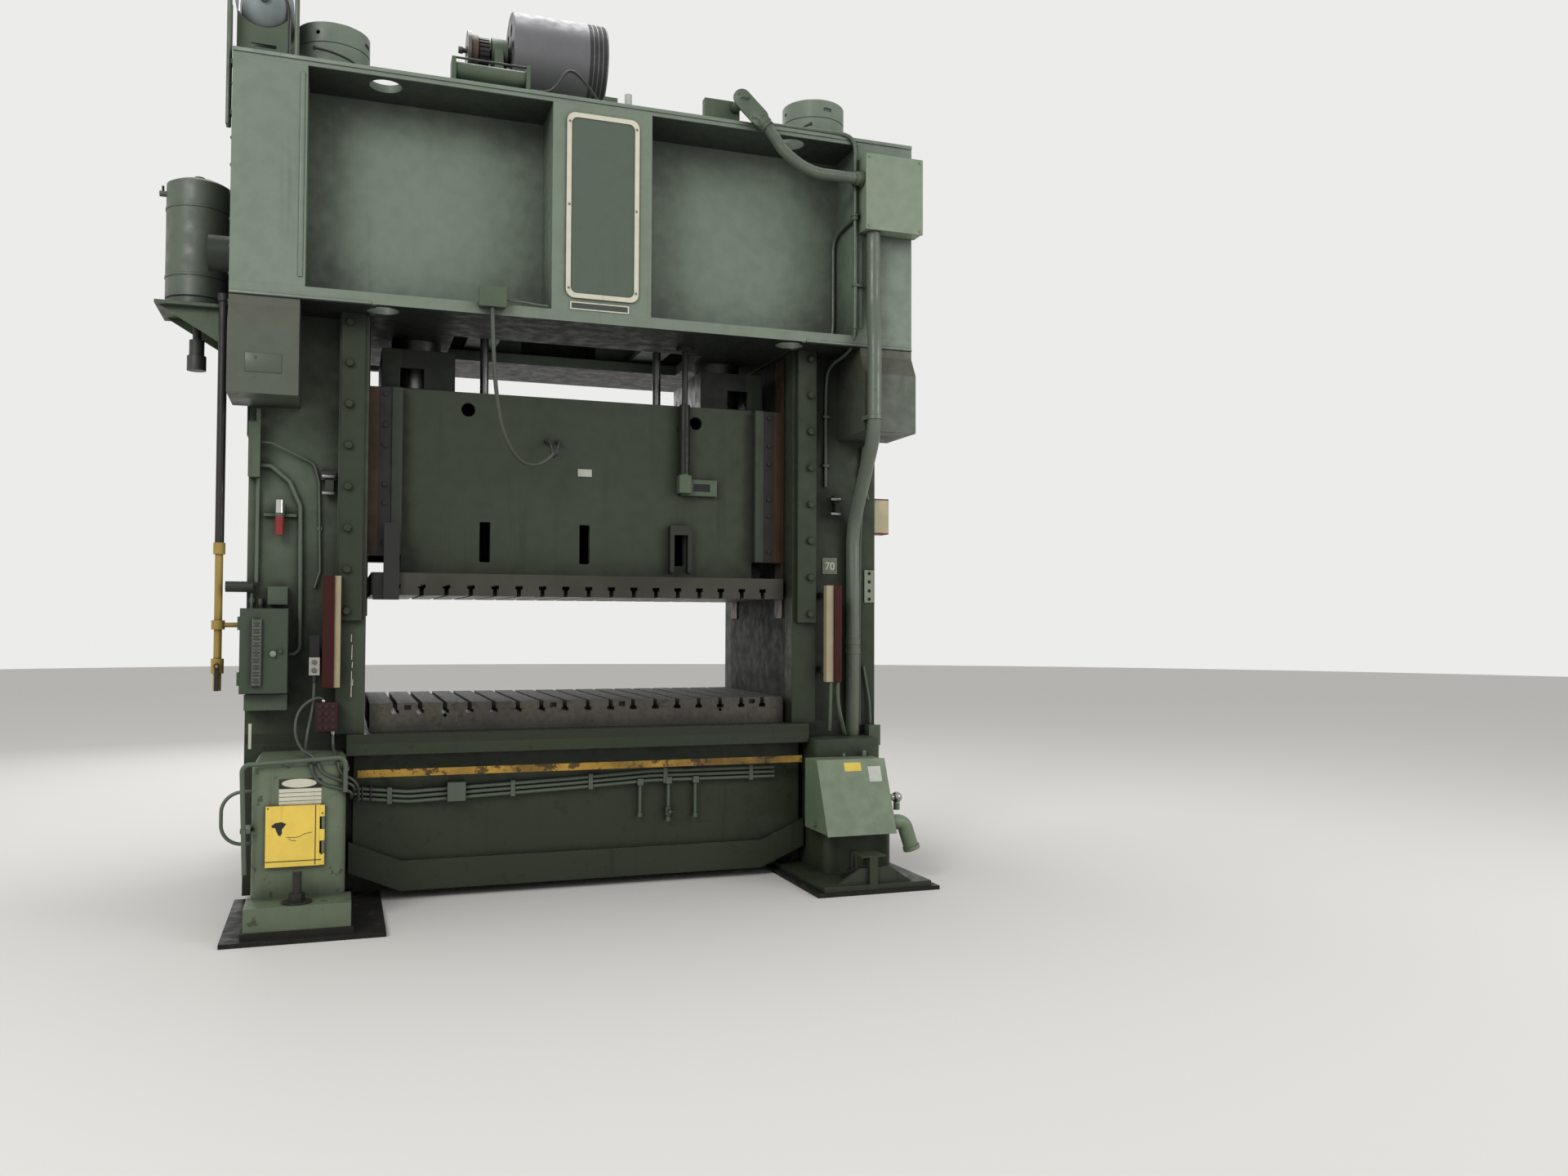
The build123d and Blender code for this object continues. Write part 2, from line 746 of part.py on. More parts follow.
def make_slide_plate():
    plate = block(-bolster_half, bolster_half, -bolster_front, bolster_front, slide_bottom,
                  slide_bottom + slide_plate_thick)
    return plate - [t_slot(x, slide_bottom, 1) for x in slot_places]


save("slide", make_slide())
save("slide_t_slot_plate", make_slide_plate())


# Slide shoes and bronze liners
shoe_outer = 1335.0
shoe_front = 585.0
shoe_bolt_radius = 15.0
shoe_bolt_height = 12.0
shoe_bolt_places = (2230, 2480, 2600, 2850, 2980, 3180)


def make_shoe():
    return block(bar_outer, shoe_outer, -shoe_front, -bar_back, shoe_bottom, shoe_top)


def make_liner():
    liner_outer = upright_inner - way_thick - body_gap
    return block(shoe_outer, liner_outer, -shoe_front, -bar_back, shoe_bottom, shoe_top)


shoe_heads = []
for z in shoe_bolt_places:
    place = -shoe_front - shoe_bolt_height
    head = rod("y", (bar_outer + shoe_outer) / 2, place, z, shoe_bolt_radius, shoe_bolt_height)
    shoe_heads.extend(four(head))
save("slide_shoes", four(make_shoe()), shoe_heads)
save("slide_liners", four(make_liner()))


# Plungers, wrist pins and connecting rods
wrist_radius = 55.0
pin_radius = 80.0
pitman_half_width = 75.0
eye_wall = 40.0
wrist_wall = 28.0
shank_half = 45.0
shank_thick = 70.0
pin_short = 3.0
disc_thick = 50.0
crank_y = crank_throw * math.sin(math.radians(crank_angle))
crank_pin_z = crank_z - crank_throw * math.cos(math.radians(crank_angle))


def make_plunger():
    body = rod("z", connection_x, 0, slide_top, plunger_radius, plunger_top - slide_top)
    room = rod("z", connection_x, 0, wrist_z - 85, plunger_bore, plunger_top - wrist_z + 90)
    hole = rod("x", connection_x - plunger_radius - 5, 0, wrist_z, wrist_radius, 2 * plunger_radius + 10)
    pin = rod("x", connection_x - plunger_radius + 12, 0, wrist_z, wrist_radius, 2 * plunger_radius - 24)
    return [body - room - hole, pin]


def make_pitman():
    tilt = math.degrees(math.atan2(crank_y, crank_pin_z - wrist_z))
    length = math.hypot(crank_y, crank_pin_z - wrist_z)
    half = pitman_half_width
    small = rod("x", -half, 0, 0, wrist_radius + wrist_wall, 2 * half)
    big = rod("x", -half, 0, length, pin_radius + eye_wall, 2 * half)
    shank = block(-shank_half, shank_half, -shank_thick / 2, shank_thick / 2, 0, length)
    body = small + big + shank
    body = body - rod("x", -half - 5, 0, 0, wrist_radius + run_gap, 2 * half + 10)
    body = body - rod("x", -half - 5, 0, length, pin_radius + 1, 2 * half + 10)
    return Pos(connection_x, 0, wrist_z) * Rot(-tilt, 0, 0) * body


plunger = make_plunger()
pitman = make_pitman()
balance_top = 4050.0


def make_balance_rod():
    stem = rod("z", balance_x, 0, slide_top, balance_radius, balance_top - slide_top)
    return stem + rod("z", balance_x, 0, balance_top - piston_height, piston_radius, piston_height)


balance_rod = make_balance_rod()
save("plungers", plunger, [mirror_x(item) for item in plunger], balance_rod, mirror_x(balance_rod))
save("right_pitman", pitman)
save("left_pitman", mirror_x(pitman))


# Toothed wheel: a blank with straight-flanked teeth trimmed at the pitch line
def gear(axis_x, y, z, radius, width, bore, teeth):
    blank = rod("x", axis_x - width / 2, y, z, radius - mesh_gap / 2, width)
    gap_width = math.pi * radius / teeth * 0.9
    depth = gap_width * 0.6
    root = radius - depth
    tooth_gap = Pos(0, 0, root + depth) * Box(width + 10, gap_width, 2 * depth)
    gaps = [Pos(axis_x, y, z) * Rot(360 / teeth * i, 0, 0) * tooth_gap for i in range(teeth)]
    wheel = blank - gaps
    if radius > 200:
        window = radius * 0.16
        ring_radius = radius * 0.62
        for i in range(6):
            angle = math.radians(60 * i + 30)
            hole_y = y + ring_radius * math.cos(angle)
            hole_z = z + ring_radius * math.sin(angle)
            wheel = wheel - rod("x", axis_x - width, hole_y, hole_z, window, 2 * width)
    return wheel - rod("x", axis_x - width, y, z, bore, 2 * width) if bore else wheel


def make_main_gear():
    wheel = gear(main_gear_x, 0, crank_z, main_gear_radius, main_gear_width, 0, 52)
    inner_face = main_gear_x - main_gear_width / 2
    pin_end = connection_x + pitman_half_width + pin_short
    disc_face = inner_face - disc_thick
    disc = rod("x", disc_face, 0, crank_z, crank_throw + pin_radius + 20, disc_thick)
    pin = rod("x", pin_end, crank_y, crank_pin_z, pin_radius, disc_face - pin_end)
    outer_face = main_gear_x + main_gear_width / 2
    shaft = rod("x", outer_face, 0, crank_z, shaft_radius, end_box_inner + crown_wall - outer_face)
    return wheel + disc + pin + shaft


main_gear = make_main_gear()
save("right_main_gear", main_gear)
save("left_main_gear", mirror_x(main_gear))


def make_cross_shaft():
    reach = end_box_inner + crown_wall
    shaft = rod("x", -reach, cross_y, cross_z, cross_shaft_radius, 2 * reach)
    pinions = []
    for side in (-1, 1):
        pinions.append(gear(side * main_gear_x, cross_y, cross_z, cross_pinion_radius, main_gear_width,
                            0, 12))
    wheel = gear(gear_plane, cross_y, cross_z, cross_gear_radius, gear_plane_width, 0, 72)
    return shaft + pinions + wheel


save("cross_shaft", make_cross_shaft())

idler_bore = 40.0


def make_idler():
    wheel = gear(gear_plane, idler_y, idler_z, idler_radius, gear_plane_width, idler_bore + run_gap, 42)
    return wheel


save("idler_gear", make_idler())


# Drive shaft with its pinion, brake disc, clutch disc and rotary union
drive_shaft_radius = 38.0
quill_radius = 70.0
quill_end = 60.0


def make_drive_shaft():
    left = -770.0
    shaft = rod("x", left, 0, drive_z, drive_shaft_radius, drum_right - 30 - left)
    brake = rod("x", -765, 0, drive_z, 135, 22)
    hub = rod("x", -743, 0, drive_z, 112, 50)
    pinion = gear(gear_plane, 0, drive_z, drive_pinion_radius, gear_plane_width, 0, 20)
    clutch = rod("x", quill_end + 30, 0, drive_z, 190, 40)
    nub = rod("x", -800, 0, drive_z, 18, 40) + rod("x", -822, 0, drive_z, 26, 30)
    return shaft + brake + hub + pinion + clutch + nub


save("drive_shaft", make_drive_shaft())


# Drive pedestal on the crown: two side plates, a bearing housing, the quill and the idler pin
pedestal_right = -492.0
pedestal_left = -600.0


def make_pedestal():
    side = Polyline((-260, crown_top), (420, crown_top), (420, crown_top + 40), (110, drive_z),
                    (-110, drive_z), (-260, crown_top + 40), close=True)
    plate = extrude(Plane.YZ.offset(pedestal_left + 15) * make_face(side), 60)
    housing = rod("x", pedestal_left, 0, drive_z, 110, pedestal_right - pedestal_left)
    foot = block(pedestal_left - 5, pedestal_right + 120, -300, 460, crown_top, crown_top + 35)
    foot = foot - block(pedestal_left - 10, pedestal_left + 4, -310, 470, crown_top - 5, crown_top + 40)
    quill = rod("x", pedestal_right, 0, drive_z, quill_radius, quill_end - pedestal_right)
    bore = rod("x", pedestal_left - 5, 0, drive_z, drive_shaft_radius + run_gap,
               quill_end - pedestal_left + 10)
    stub = rod("x", gear_plane - gear_plane_width / 2 - 5, idler_y, idler_z, idler_bore,
               pedestal_left + 30 - gear_plane + gear_plane_width / 2 + 5)
    return plate + housing + foot + quill - bore + stub


save("drive_pedestal", make_pedestal())


# Flywheel drum, hollow, turning on the quill
belt_seat = drum_radius - belt_thick
belt_gap = 8.0
belt_span = belt_count * belt_width + (belt_count - 1) * belt_gap
belt_start = drum_right - 12 - belt_span


def make_flywheel():
    drum = rod("x", drum_left, 0, drive_z, drum_radius, drum_right - drum_left)
    drum = chamfer(drum.edges().filter_by(GeomType.CIRCLE), 5)
    room = rod("x", quill_end + 5, 0, drive_z, drum_radius - 70, drum_right - quill_end)
    bore = rod("x", drum_left - 5, 0, drive_z, quill_radius + run_gap, drum_right - drum_left + 10)
    body = drum - room - bore
    for i in range(belt_count):
        x = belt_start + i * (belt_width + belt_gap)
        groove = ring("x", x - 0.5, 0, drive_z, drum_radius + 5, belt_seat - 0.3, belt_width + 1)
        body = body - groove
    for i in range(6):
        angle = math.radians(60 * i)
        y = 175 * math.cos(angle)
        z = drive_z + 175 * math.sin(angle)
        body = body - rod("x", drum_left - 5, y, z, 42, drum_right - drum_left + 10)
    return body


save("flywheel", make_flywheel())


# Motor behind the drum, its pulley and the V-belts round both
motor_shaft = 30.0
motor_left = -520.0
motor_right = belt_start - 60


def make_motor():
    body = rod("x", motor_left, motor_y, motor_z, motor_radius, motor_right - motor_left)
    body = chamfer(body.edges().filter_by(GeomType.CIRCLE), 18)
    fins = []
    middle = (motor_left + motor_right) / 2
    for i in range(24):
        fin = Pos(middle, 0, motor_radius + 4) * Box(motor_right - motor_left - 120, 6, 24)
        fins.append(Pos(0, motor_y, motor_z) * Rot(15 * i, 0, 0) * fin)
    base_low = crown_top
    feet = block(motor_left + 60, motor_right - 60, motor_y - 210, motor_y + 210, base_low, base_low + 40)
    legs = []
    for y in (motor_y - 190, motor_y + 150):
        legs.append(block(motor_left + 80, motor_right - 80, y, y + 40, base_low + 30, motor_z - 60))
    box = block(motor_left + 180, motor_left + 360, motor_y + 150, motor_y + 290, motor_z + 60, motor_z + 220)
    bore = rod("x", motor_right - 120, motor_y, motor_z, motor_shaft + run_gap, 130)
    return body + fins + feet + legs + box - bore


def make_motor_pulley():
    start = belt_start - 20
    wheel = rod("x", start, motor_y, motor_z, motor_pulley_radius, belt_span + 40)
    for i in range(belt_count):
        x = belt_start + i * (belt_width + belt_gap)
        seat = motor_pulley_radius - belt_thick - 0.3
        wheel = wheel - ring("x", x - 0.5, motor_y, motor_z, motor_pulley_radius + 5, seat, belt_width + 1)
    shaft = rod("x", motor_right - 110, motor_y, motor_z, motor_shaft, start - motor_right + 110)
    return wheel + shaft


def belt_loop(extra):
    # Closed outline round the drum seat and the pulley seat, on the YZ plane
    big = belt_seat + extra
    small = motor_pulley_radius - belt_thick + extra
    dy = motor_y
    dz = motor_z - drive_z
    span = math.hypot(dy, dz)
    heading = math.atan2(dz, dy)
    lean = math.acos((big - small) / span)

    def at(cy, cz, radius, angle):
        return (cy + radius * math.cos(angle), cz + radius * math.sin(angle))

    a = at(0, drive_z, big, heading + lean)
    b = at(0, drive_z, big, heading + math.pi)
    c = at(0, drive_z, big, heading - lean)
    d = at(motor_y, motor_z, small, heading - lean)
    e = at(motor_y, motor_z, small, heading)
    f = at(motor_y, motor_z, small, heading + lean)
    return make_face([ThreePointArc(a, b, c), Line(c, d), ThreePointArc(d, e, f), Line(f, a)])


def make_belts():
    belts = []
    for i in range(belt_count):
        x = belt_start + i * (belt_width + belt_gap)
        band = belt_loop(belt_thick) - belt_loop(0)
        belts.append(extrude(Plane.YZ.offset(x) * band, belt_width))
    return belts


save("drive_motor", make_motor())
save("motor_pulley", make_motor_pulley())
save("drive_belts", make_belts())


# Height counter: a box and sleeve on the slide, and the rod that hangs from the crown
counter_x = 680.0
sleeve_y = 572.0
sleeve_radius = 39.0
sleeve_low = 2742.0
sleeve_top = 3232.0
counter_rod_radius = 20.0


def make_counter():
    front = -slide_front
    box = block(counter_x - 20, counter_x + 240, front - 40, front, 2608, 2720)
    window = block(counter_x + 70, counter_x + 190, front - 45, front - 34, 2638, 2690)
    gearbox = block(counter_x - 42, counter_x + 42, front - 90, front, 2620, sleeve_low)
    sleeve = ring("z", counter_x, -sleeve_y, sleeve_low, sleeve_radius, counter_rod_radius + 0.5,
                  sleeve_top - sleeve_low)
    clip = block(counter_x - 44, counter_x + 44, front - 14, front, 3060, 3090)
    clip = clip + block(counter_x + sleeve_radius - 2, counter_x + sleeve_radius + 10, front - 60, front,
                        3060, 3090)
    return box - window + gearbox + sleeve + clip


def make_counter_rod():
    low = sleeve_low + 150
    top = crown_bottom + crown_pad_step
    stem = rod("z", counter_x, -sleeve_y, low, counter_rod_radius, top - low)
    flange = rod("z", counter_x, -sleeve_y, top - 28, 62, 28)
    return stem + flange


save("height_counter", make_counter())
save("counter_rod", make_counter_rod())


# Dark corner arm at the left of the slide and the clamp bracket over the right slot
arm_right = -slide_half - 15
arm_step = -slide_half - 110
arm_left = -slide_half - 172
arm_low = slide_bottom - 29
arm_height = 483.0
arm_tab_height = 172.0
arm_deep = 44.0
arm_thin = 14.0


def make_slide_brackets():
    front = -bolster_front
    arm = block(arm_left, arm_step + 10, front - arm_thin, front, arm_low, arm_low + arm_tab_height)
    arm = arm + block(arm_step, arm_right, front - arm_deep, front, arm_low, arm_low + arm_height)
    brace_low = arm_low + 198
    brace = block(arm_step + 10, arm_right - 10, front, -slide_front, brace_low, brace_low + 30)
    clamp = []
    face = -slide_front
    for x in (knockout_x - 78, knockout_x + 48):
        clamp.append(block(x, x + 30, face - 60, face, 2070, 2390))
    bridge = block(knockout_x - 78, knockout_x + 78, face - 60, face - 20, 2330, 2395)
    parts = [arm + brace, clamp[0] + clamp[1] + bridge]
    parts.append(block(-50, 45, face - 3 - body_gap, face - body_gap, 2712, 2762))
    for x in terminal_x:
        parts.append(rod("y", x, terminal_y, terminal_z, 15, face - body_gap - terminal_y))
    return parts


save("slide_brackets", make_slide_brackets())


# Name plate on the pilaster, left bare, with a raised rim and six screws
name_half = 235.0
name_low = floor_z + 80
name_high = roof_z - 55
name_thick = 8.0
name_round = 55.0
rim_width = 30.0
rim_height = 6.0
screw_radius = 7.0


def rounded_plate(x0, x1, z0, z1, radius, front, thick):
    face = Pos((x0 + x1) / 2, (z0 + z1) / 2) * RectangleRounded(x1 - x0, z1 - z0, radius)
    return extrude(Plane.XZ.offset(-front) * face, -thick)


def make_name_plate():
    back = -crown_front - body_gap
    front = back - name_thick
    plate = rounded_plate(-name_half, name_half, name_low, name_high, name_round, front, name_thick)
    outer = rounded_plate(-name_half, name_half, name_low, name_high, name_round,
                          front - rim_height, rim_height)
    inner = rounded_plate(-name_half + rim_width, name_half - rim_width, name_low + rim_width,
                          name_high - rim_width, name_round - rim_width / 2, front - rim_height, rim_height)
    plate = plate + (outer - inner)
    for x in (-name_half + rim_width * 0.6, name_half - rim_width * 0.6):
        for z in (name_low + 60, (name_low + name_high) / 2, name_high - 60):
            plate = plate + rod("y", x, front - rim_height - 3, z, screw_radius, 5)
    return plate


save("name_plate", make_name_plate())


# Small bare plates: under the name plate, on the right upright and on the left foot
column_face = -upright_front - body_gap
label_left = -1859.0
label_right = -1638.0
label_pitch = 23.0


def make_small_plates():
    crown_face = -crown_front - body_gap
    parts = [block(-206, 175, crown_face - 5, crown_face, 3712, 3762)]
    parts.append(block(1682, 1795, column_face - 6, column_face, 2077, 2193))
    four_hole = block(2008, 2082, column_face - 8, column_face, 1876, 2110)
    for z in (1900, 1960, 2025, 2086):
        four_hole = four_hole - rod("y", 2045, column_face - 12, z, 13, 20)
    parts.append(four_hole)
    foot_face = -foot_front - body_gap
    for i in range(4):
        low = door_low + door_height + 2 + label_pitch * i
        parts.append(block(label_left, label_right, foot_face - 2, foot_face, low, low + label_pitch - 3))
    return parts


save("small_plates", make_small_plates())


# Junction box on the right crown end
box_left = 1784.0
box_right = 2203.0
box_share = 0.543
box_high = crown_top - 150
box_low = crown_bottom + box_share * (crown_top - crown_bottom)
box_front = 1190.0
box_lid = 14.0
box_shell = 6.0


def make_junction_box():
    back = -crown_front - body_gap
    body = block(box_left, box_right, -box_front + box_lid, back, box_low, box_high)
    body = body - block(box_left + box_shell, box_right - box_shell, -box_front + box_lid - 5,
                        back - box_shell, box_low + box_shell, box_high - box_shell)
    body = body - rod("z", conduit_x, -conduit_front, box_low - 5, conduit_radius - 4, box_shell + 10)
    lid = block(box_left - 4, box_right + 4, -box_front, -box_front + box_lid - body_gap,
                box_low - 4, box_high + 4)
    for x in (box_left + 20, box_right - 20):
        for z in (box_low + 20, box_high - 20):
            lid = lid + rod("y", x, -box_front - 5, z, 8, 6)
    return [body, lid]


# Main conduit from the junction box down the right upright
conduit_x = 1866.0
conduit_front = 1118.0
conduit_radius = 48.0
conduit_back = upright_front + conduit_radius + 4
conduit_out_x = 1842.0
conduit_out_front = cover_front + 75
conduit_low_x = 1897.0
conduit_step_high = crown_bottom + 305
conduit_step_low = crown_bottom + 15
conduit_turn_high = cover_bottom - 25
conduit_turn_low = 2420.0
conduit_bend = 400.0
coupling_radius = 56.0
strap_half = 62.0
strap_low = cover_bottom + 68
strap_width = 26.0


def make_main_conduit():
    path = [(conduit_x, -conduit_front, box_low - body_gap), (conduit_x, -conduit_front, conduit_step_high),
            (conduit_out_x, -conduit_out_front, conduit_step_low),
            (conduit_out_x, -conduit_out_front, conduit_turn_high),
            (conduit_low_x, -conduit_back, conduit_turn_low), (conduit_low_x, -conduit_back, foot_top + body_gap)]
    body = pipe(path, conduit_radius, conduit_bend)
    for z in (1510, 1575):
        body = body + rod("z", conduit_low_x, -conduit_back, z, coupling_radius - 4.5, 40)
    strap = block(conduit_out_x - strap_half, conduit_out_x + strap_half, -conduit_out_front,
                  -cover_front - body_gap, strap_low, strap_low + strap_width)
    strap = strap + rod("z", conduit_out_x, -conduit_out_front, strap_low, coupling_radius - 4, strap_width)
    return body + strap


save("junction_box", make_junction_box())
save("main_conduit", make_main_conduit())


# Flexible conduit from the pull box on the crown over its edge to the junction box
pull_left = 706.0
pull_right = 950.0
pull_high = crown_top + 170
pull_front = 950.0
pull_depth = 60.0
fitting_radius = 42.0
fitting_hub = 34.0
flex_radius = 40.0
flex_y = -1120.0


def make_flexible_conduit():
    # Slanted fitting: a hub in the front of the pull box, then a body down over the flange edge
    start = (918, -1060, crown_top + 158)
    end = (1092, -1126, crown_top - 47)
    elbow = pipe([start, end], fitting_radius, 0)
    elbow = elbow + rod("y", 918, -1060, crown_top + 125, fitting_hub, 1060 - pull_front - body_gap)
    low = box_high - 158
    flex = pipe([(1084, -1123, crown_top - 38), (1190, flex_y, crown_top - 175), (1400, flex_y, low),
                 (box_left - body_gap, flex_y, low)], flex_radius, 300)
    return elbow + flex


save("flexible_conduit", make_flexible_conduit())


# Small boxes and fittings bolted to the frame
outlet_low = 3672.0
outlet_left = -772.0
outlet_right = -612.0
cylinder_y = 900.0
side_drum_length = 144.0
side_drum_radius = 108.0
side_drum_y = 660.0
side_drum_z = crank_z - 342


def lidded(x0, x1, front, back, z0, z1, lid=8):
    body = block(x0, x1, front + lid, back, z0, z1)
    return body + block(x0 - 3, x1 + 3, front, front + lid, z0 - 3, z1 + 3)


def make_small_boxes():
    face = column_face
    crown_face = -crown_front - body_gap
    roof = crown_top + body_gap
    parts = [lidded(outlet_left, outlet_right, crown_face - 70, crown_face, outlet_low, outlet_low + 118)]
    parts.append(block(pull_left, pull_right, -pull_front, -pull_front + pull_depth, roof, pull_high))
    parts.append(lidded(-2085, -2024, -750, face, 2600, 2930))
    parts.append(lidded(-1965, -1858, -720, face, 1828, 1932))
    parts.append(lidded(2006, 2088, -745, face, 861, 1000))
    side = upright_outer + body_gap
    parts.append(block(side, 2239, -560, -440, 2380, 2640))
    parts.append(lidded(-2085, -1850, -780, face, 1190, 1280))
    motor = rod("x", -2206, -680, 1932, 33, 156) + block(-2120, -2070, -700, face, 1905, 1960)
    parts.append(motor)
    parts.append(block(20, 110, -960, -880, roof, roof + 70))
    parts.append(rod("z", 190, -920, roof, 24, 118))
    cylinder = rod("x", -923, -cylinder_y, roof + 121, 52, 468)
    for x, height in ((-480, 195), (-940, 182)):
        cylinder = cylinder + block(x, x + 25, -cylinder_y - 65, -cylinder_y + 65, roof, roof + height)
    cylinder = cylinder + rod("x", -930, -cylinder_y - 40, roof + 186, 7, 470)
    parts.append(cylinder)
    end = -crown_half - body_gap
    parts.append(rod("x", end - side_drum_length, -side_drum_y, side_drum_z, side_drum_radius, side_drum_length))
    return parts


save("small_boxes", make_small_boxes())


# Lead from the crown to the slide: hangs free, ends just short of the terminals on the slide
def make_slide_cable():
    x = (outlet_left + outlet_right) / 2
    main = pipe([(x, -1092, outlet_low - 3 - body_gap), (x + 8, -1085, 3430), (x + 34, -1040, 3140),
                 (x + 90, -960, 2900), (x + 215, -840, 2740), (x + 370, -730, 2745), (-240, -690, 2840)],
                lead_radius, lead_bend)
    block_z = 2845
    joint = Pos(-237, -687, block_z) * Box(52, 34, 50)
    leads = []
    for i, tx in enumerate(terminal_x):
        start_x = -249 + 24 * i
        leads.append(pipe([(start_x, -685, block_z + 10), (tx, -672, terminal_z),
                           (tx, terminal_y - 0.8, terminal_z)], branch_radius, branch_bend))
    return main + joint + leads


save("slide_cable", make_slide_cable())
print("lead bends, in diameters", lead_bend / lead_radius / 2, branch_bend / branch_radius / 2)


# Lubrication cabinet outline
cabinet_left = -2112.0
cabinet_right = -1845.0
cabinet_low = 1290.0
cabinet_high = 1800.0


# Conduits on the left upright, the crown's left end and the left foot
guard_front = 1450.0
guard_inner = 1512.0
guard_outer = 2048.0
guard_radius = 13.0
riser_low = crown_top - 440
foot_hose_radius = 7.5
foot_hoses = [
    [(-1640, -858, 1235.3), (-1640, -858, 1262), (-1700, -890, 1264), (-1785, -908, 1190), (-1800, -935, 1060),
     (-1755, -1080, 972), (-1705, -1290, 968), (-1668, -1436, 955), (-1640, -1428.5, 875), (-1580, -1428.5, 846),
     (-1478, -1429.5, 806), (-1462, -1385, 775), (-1460, -1100, 715), (-1460, -930, 700), (-1460, -795, 698),
     (-1427.5, -795, 698)],
    [(-1693.5, -866, 1399.7), (-1693.5, -866, 1330), (-1700, -868, 1200), (-1728, -880, 1060), (-1736, -960, 970),
     (-1724, -1150, 944), (-1712, -1340, 944), (-1700, -1444, 940), (-1680, -1428.5, 850), (-1625, -1428.5, 806),
     (-1560, -1428.5, 790), (-1480, -1428.5, 764), (-1478, -1360, 735), (-1478, -1150, 690), (-1478, -930, 670),
     (-1478, -795, 668), (-1427.5, -795, 668)],
    [(-1583, -858, 1059.7), (-1583, -860, 1000), (-1580, -900, 958), (-1570, -1100, 948), (-1563, -1330, 950),
     (-1556, -1448, 948), (-1540, -1428.5, 868), (-1470, -1428.5, 832), (-1440, -1370, 780), (-1438, -1200, 700),
     (-1440, -1000, 645), (-1446, -880, 638), (-1454, -795, 638), (-1427.5, -795, 638)]]


def held(path, radius, bend, clips, face):
    tube = pipe(path, radius, bend)
    for x, y, z in clips:
        y0, y1 = sorted((y, face))
        tube = tube + block(x - 14, x + 14, y0, y1, z - 12, z + 12)
    return tube


def make_left_conduits():
    face = column_face
    y = -660
    parts = [held([(-2060, y, cabinet_high + body_gap), (-2060, y, 1895)], 9, 20, [(-2060, y, 1850)], face)]
    parts.append(held([(-2035, y - 5, 1960), (-2035, y - 5, 2597)], 12, 20, [(-2035, y - 5, 2100)], face))
    parts.append(held([(-2035, y - 30, 2933), (-2035, y - 30, 3020)], 12, 20, [(-2035, y - 30, 2985)], face))
    thin = [(-2020.5, y - 40, 2815), (-1960, y - 40, 2815), (-1715, y, 2700), (-1685, y, 2592),
            (-1673, y, 2033), (-1704, y, 1931)]
    parts.append(held(thin, 7, 60, [(-1679, y, 2300)], face))
    thick = [(-2020.5, y - 5, 2678), (-1965, y - 5, 2678), (-1855, y - 5, 2584), (-1792, y - 5, 2435),
             (-1784, y - 5, 1889), (-1784, y - 5, 1520), (cabinet_right + body_gap, y - 5, 1520)]
    parts.append(held(thick, 14, 55, [(-1786, y - 5, 2050), (-1786, y - 5, 1700)], face))
    side = -foot_outer - body_gap
    inner_side = -foot_inner + body_gap
    guard = pipe([(-guard_inner, -guard_front, 767), (-guard_inner, -guard_front, foot_top + 30),
                  (-guard_outer, -guard_front, foot_top + 2), (-guard_outer + 20, -guard_front, 336)],
                 guard_radius, 40)
    guard = guard + block(-guard_outer - 5, side, -guard_front - 5, -guard_front + 150, 560, 585)
    guard = guard + block(inner_side, inner_side + 14, -guard_front - 5, -guard_front + 120, 885, 905)
    parts.append(guard)
    handle = [(side, -1300, 770), (-2160, -1300, 770), (-2160, -1300, 480), (side, -1300, 480)]
    parts.append(pipe(handle, 10, 110))
    for points in foot_hoses:
        parts.append(hose(points, foot_hose_radius))
    end = -crown_half - body_gap
    for i, y_end in enumerate((-985, -940)):
        high = crown_top + 380 - 90 * i
        riser = pipe([(end - 24, y_end, high), (end - 24, y_end, riser_low)], 14, 20)
        for z in (riser_low + 60, crown_top - 80):
            riser = riser + block(end - 24, end, y_end - 8, y_end + 8, z, z + 30)
        parts.append(riser)
    parts.append(rod("z", -1842, -985, crown_top + body_gap, 14, 420))
    return parts


save("left_conduits", make_left_conduits())


# Lubrication cabinet with its hinged front
cabinet_front = 850.0
cabinet_wall = 5.0
lube_hinge_x = cabinet_left - 6
lube_hinge_y = -cabinet_front - 4
lube_pin_radius = 4.0
lube_knuckle = 7.0
lube_door_thick = 8.0


def make_lube_cabinet():
    body = block(cabinet_left, cabinet_right, -cabinet_front, column_face, cabinet_low, cabinet_high)
    body = body - block(cabinet_left + cabinet_wall, cabinet_right - cabinet_wall, -cabinet_front - 5,
                        column_face - cabinet_wall, cabinet_low + cabinet_wall, cabinet_high - cabinet_wall)
    pump = block(-2060, -1900, column_face - 120, column_face - cabinet_wall, 1340, 1560)
    manifold = rod("z", -1980, column_face - 60, 1560, 40, 130)
    body = body + pump + manifold
    for z in (1350, 1680):
        pin = rod("z", lube_hinge_x, lube_hinge_y, z, lube_pin_radius, 60)
        for lug_z in (z - 10, z + 60):
            lug = rod("z", lube_hinge_x, lube_hinge_y, lug_z, lube_knuckle, 10)
            ear = block(lube_hinge_x - lube_knuckle, cabinet_left, lube_hinge_y, lube_hinge_y + 20,
                        lug_z, lug_z + 10)
            ear = ear + block(cabinet_left - 1, cabinet_left + 2, -cabinet_front, lube_hinge_y + 20,
                              lug_z, lug_z + 10)
            pin = pin + lug + ear
        body = body + pin
    return body


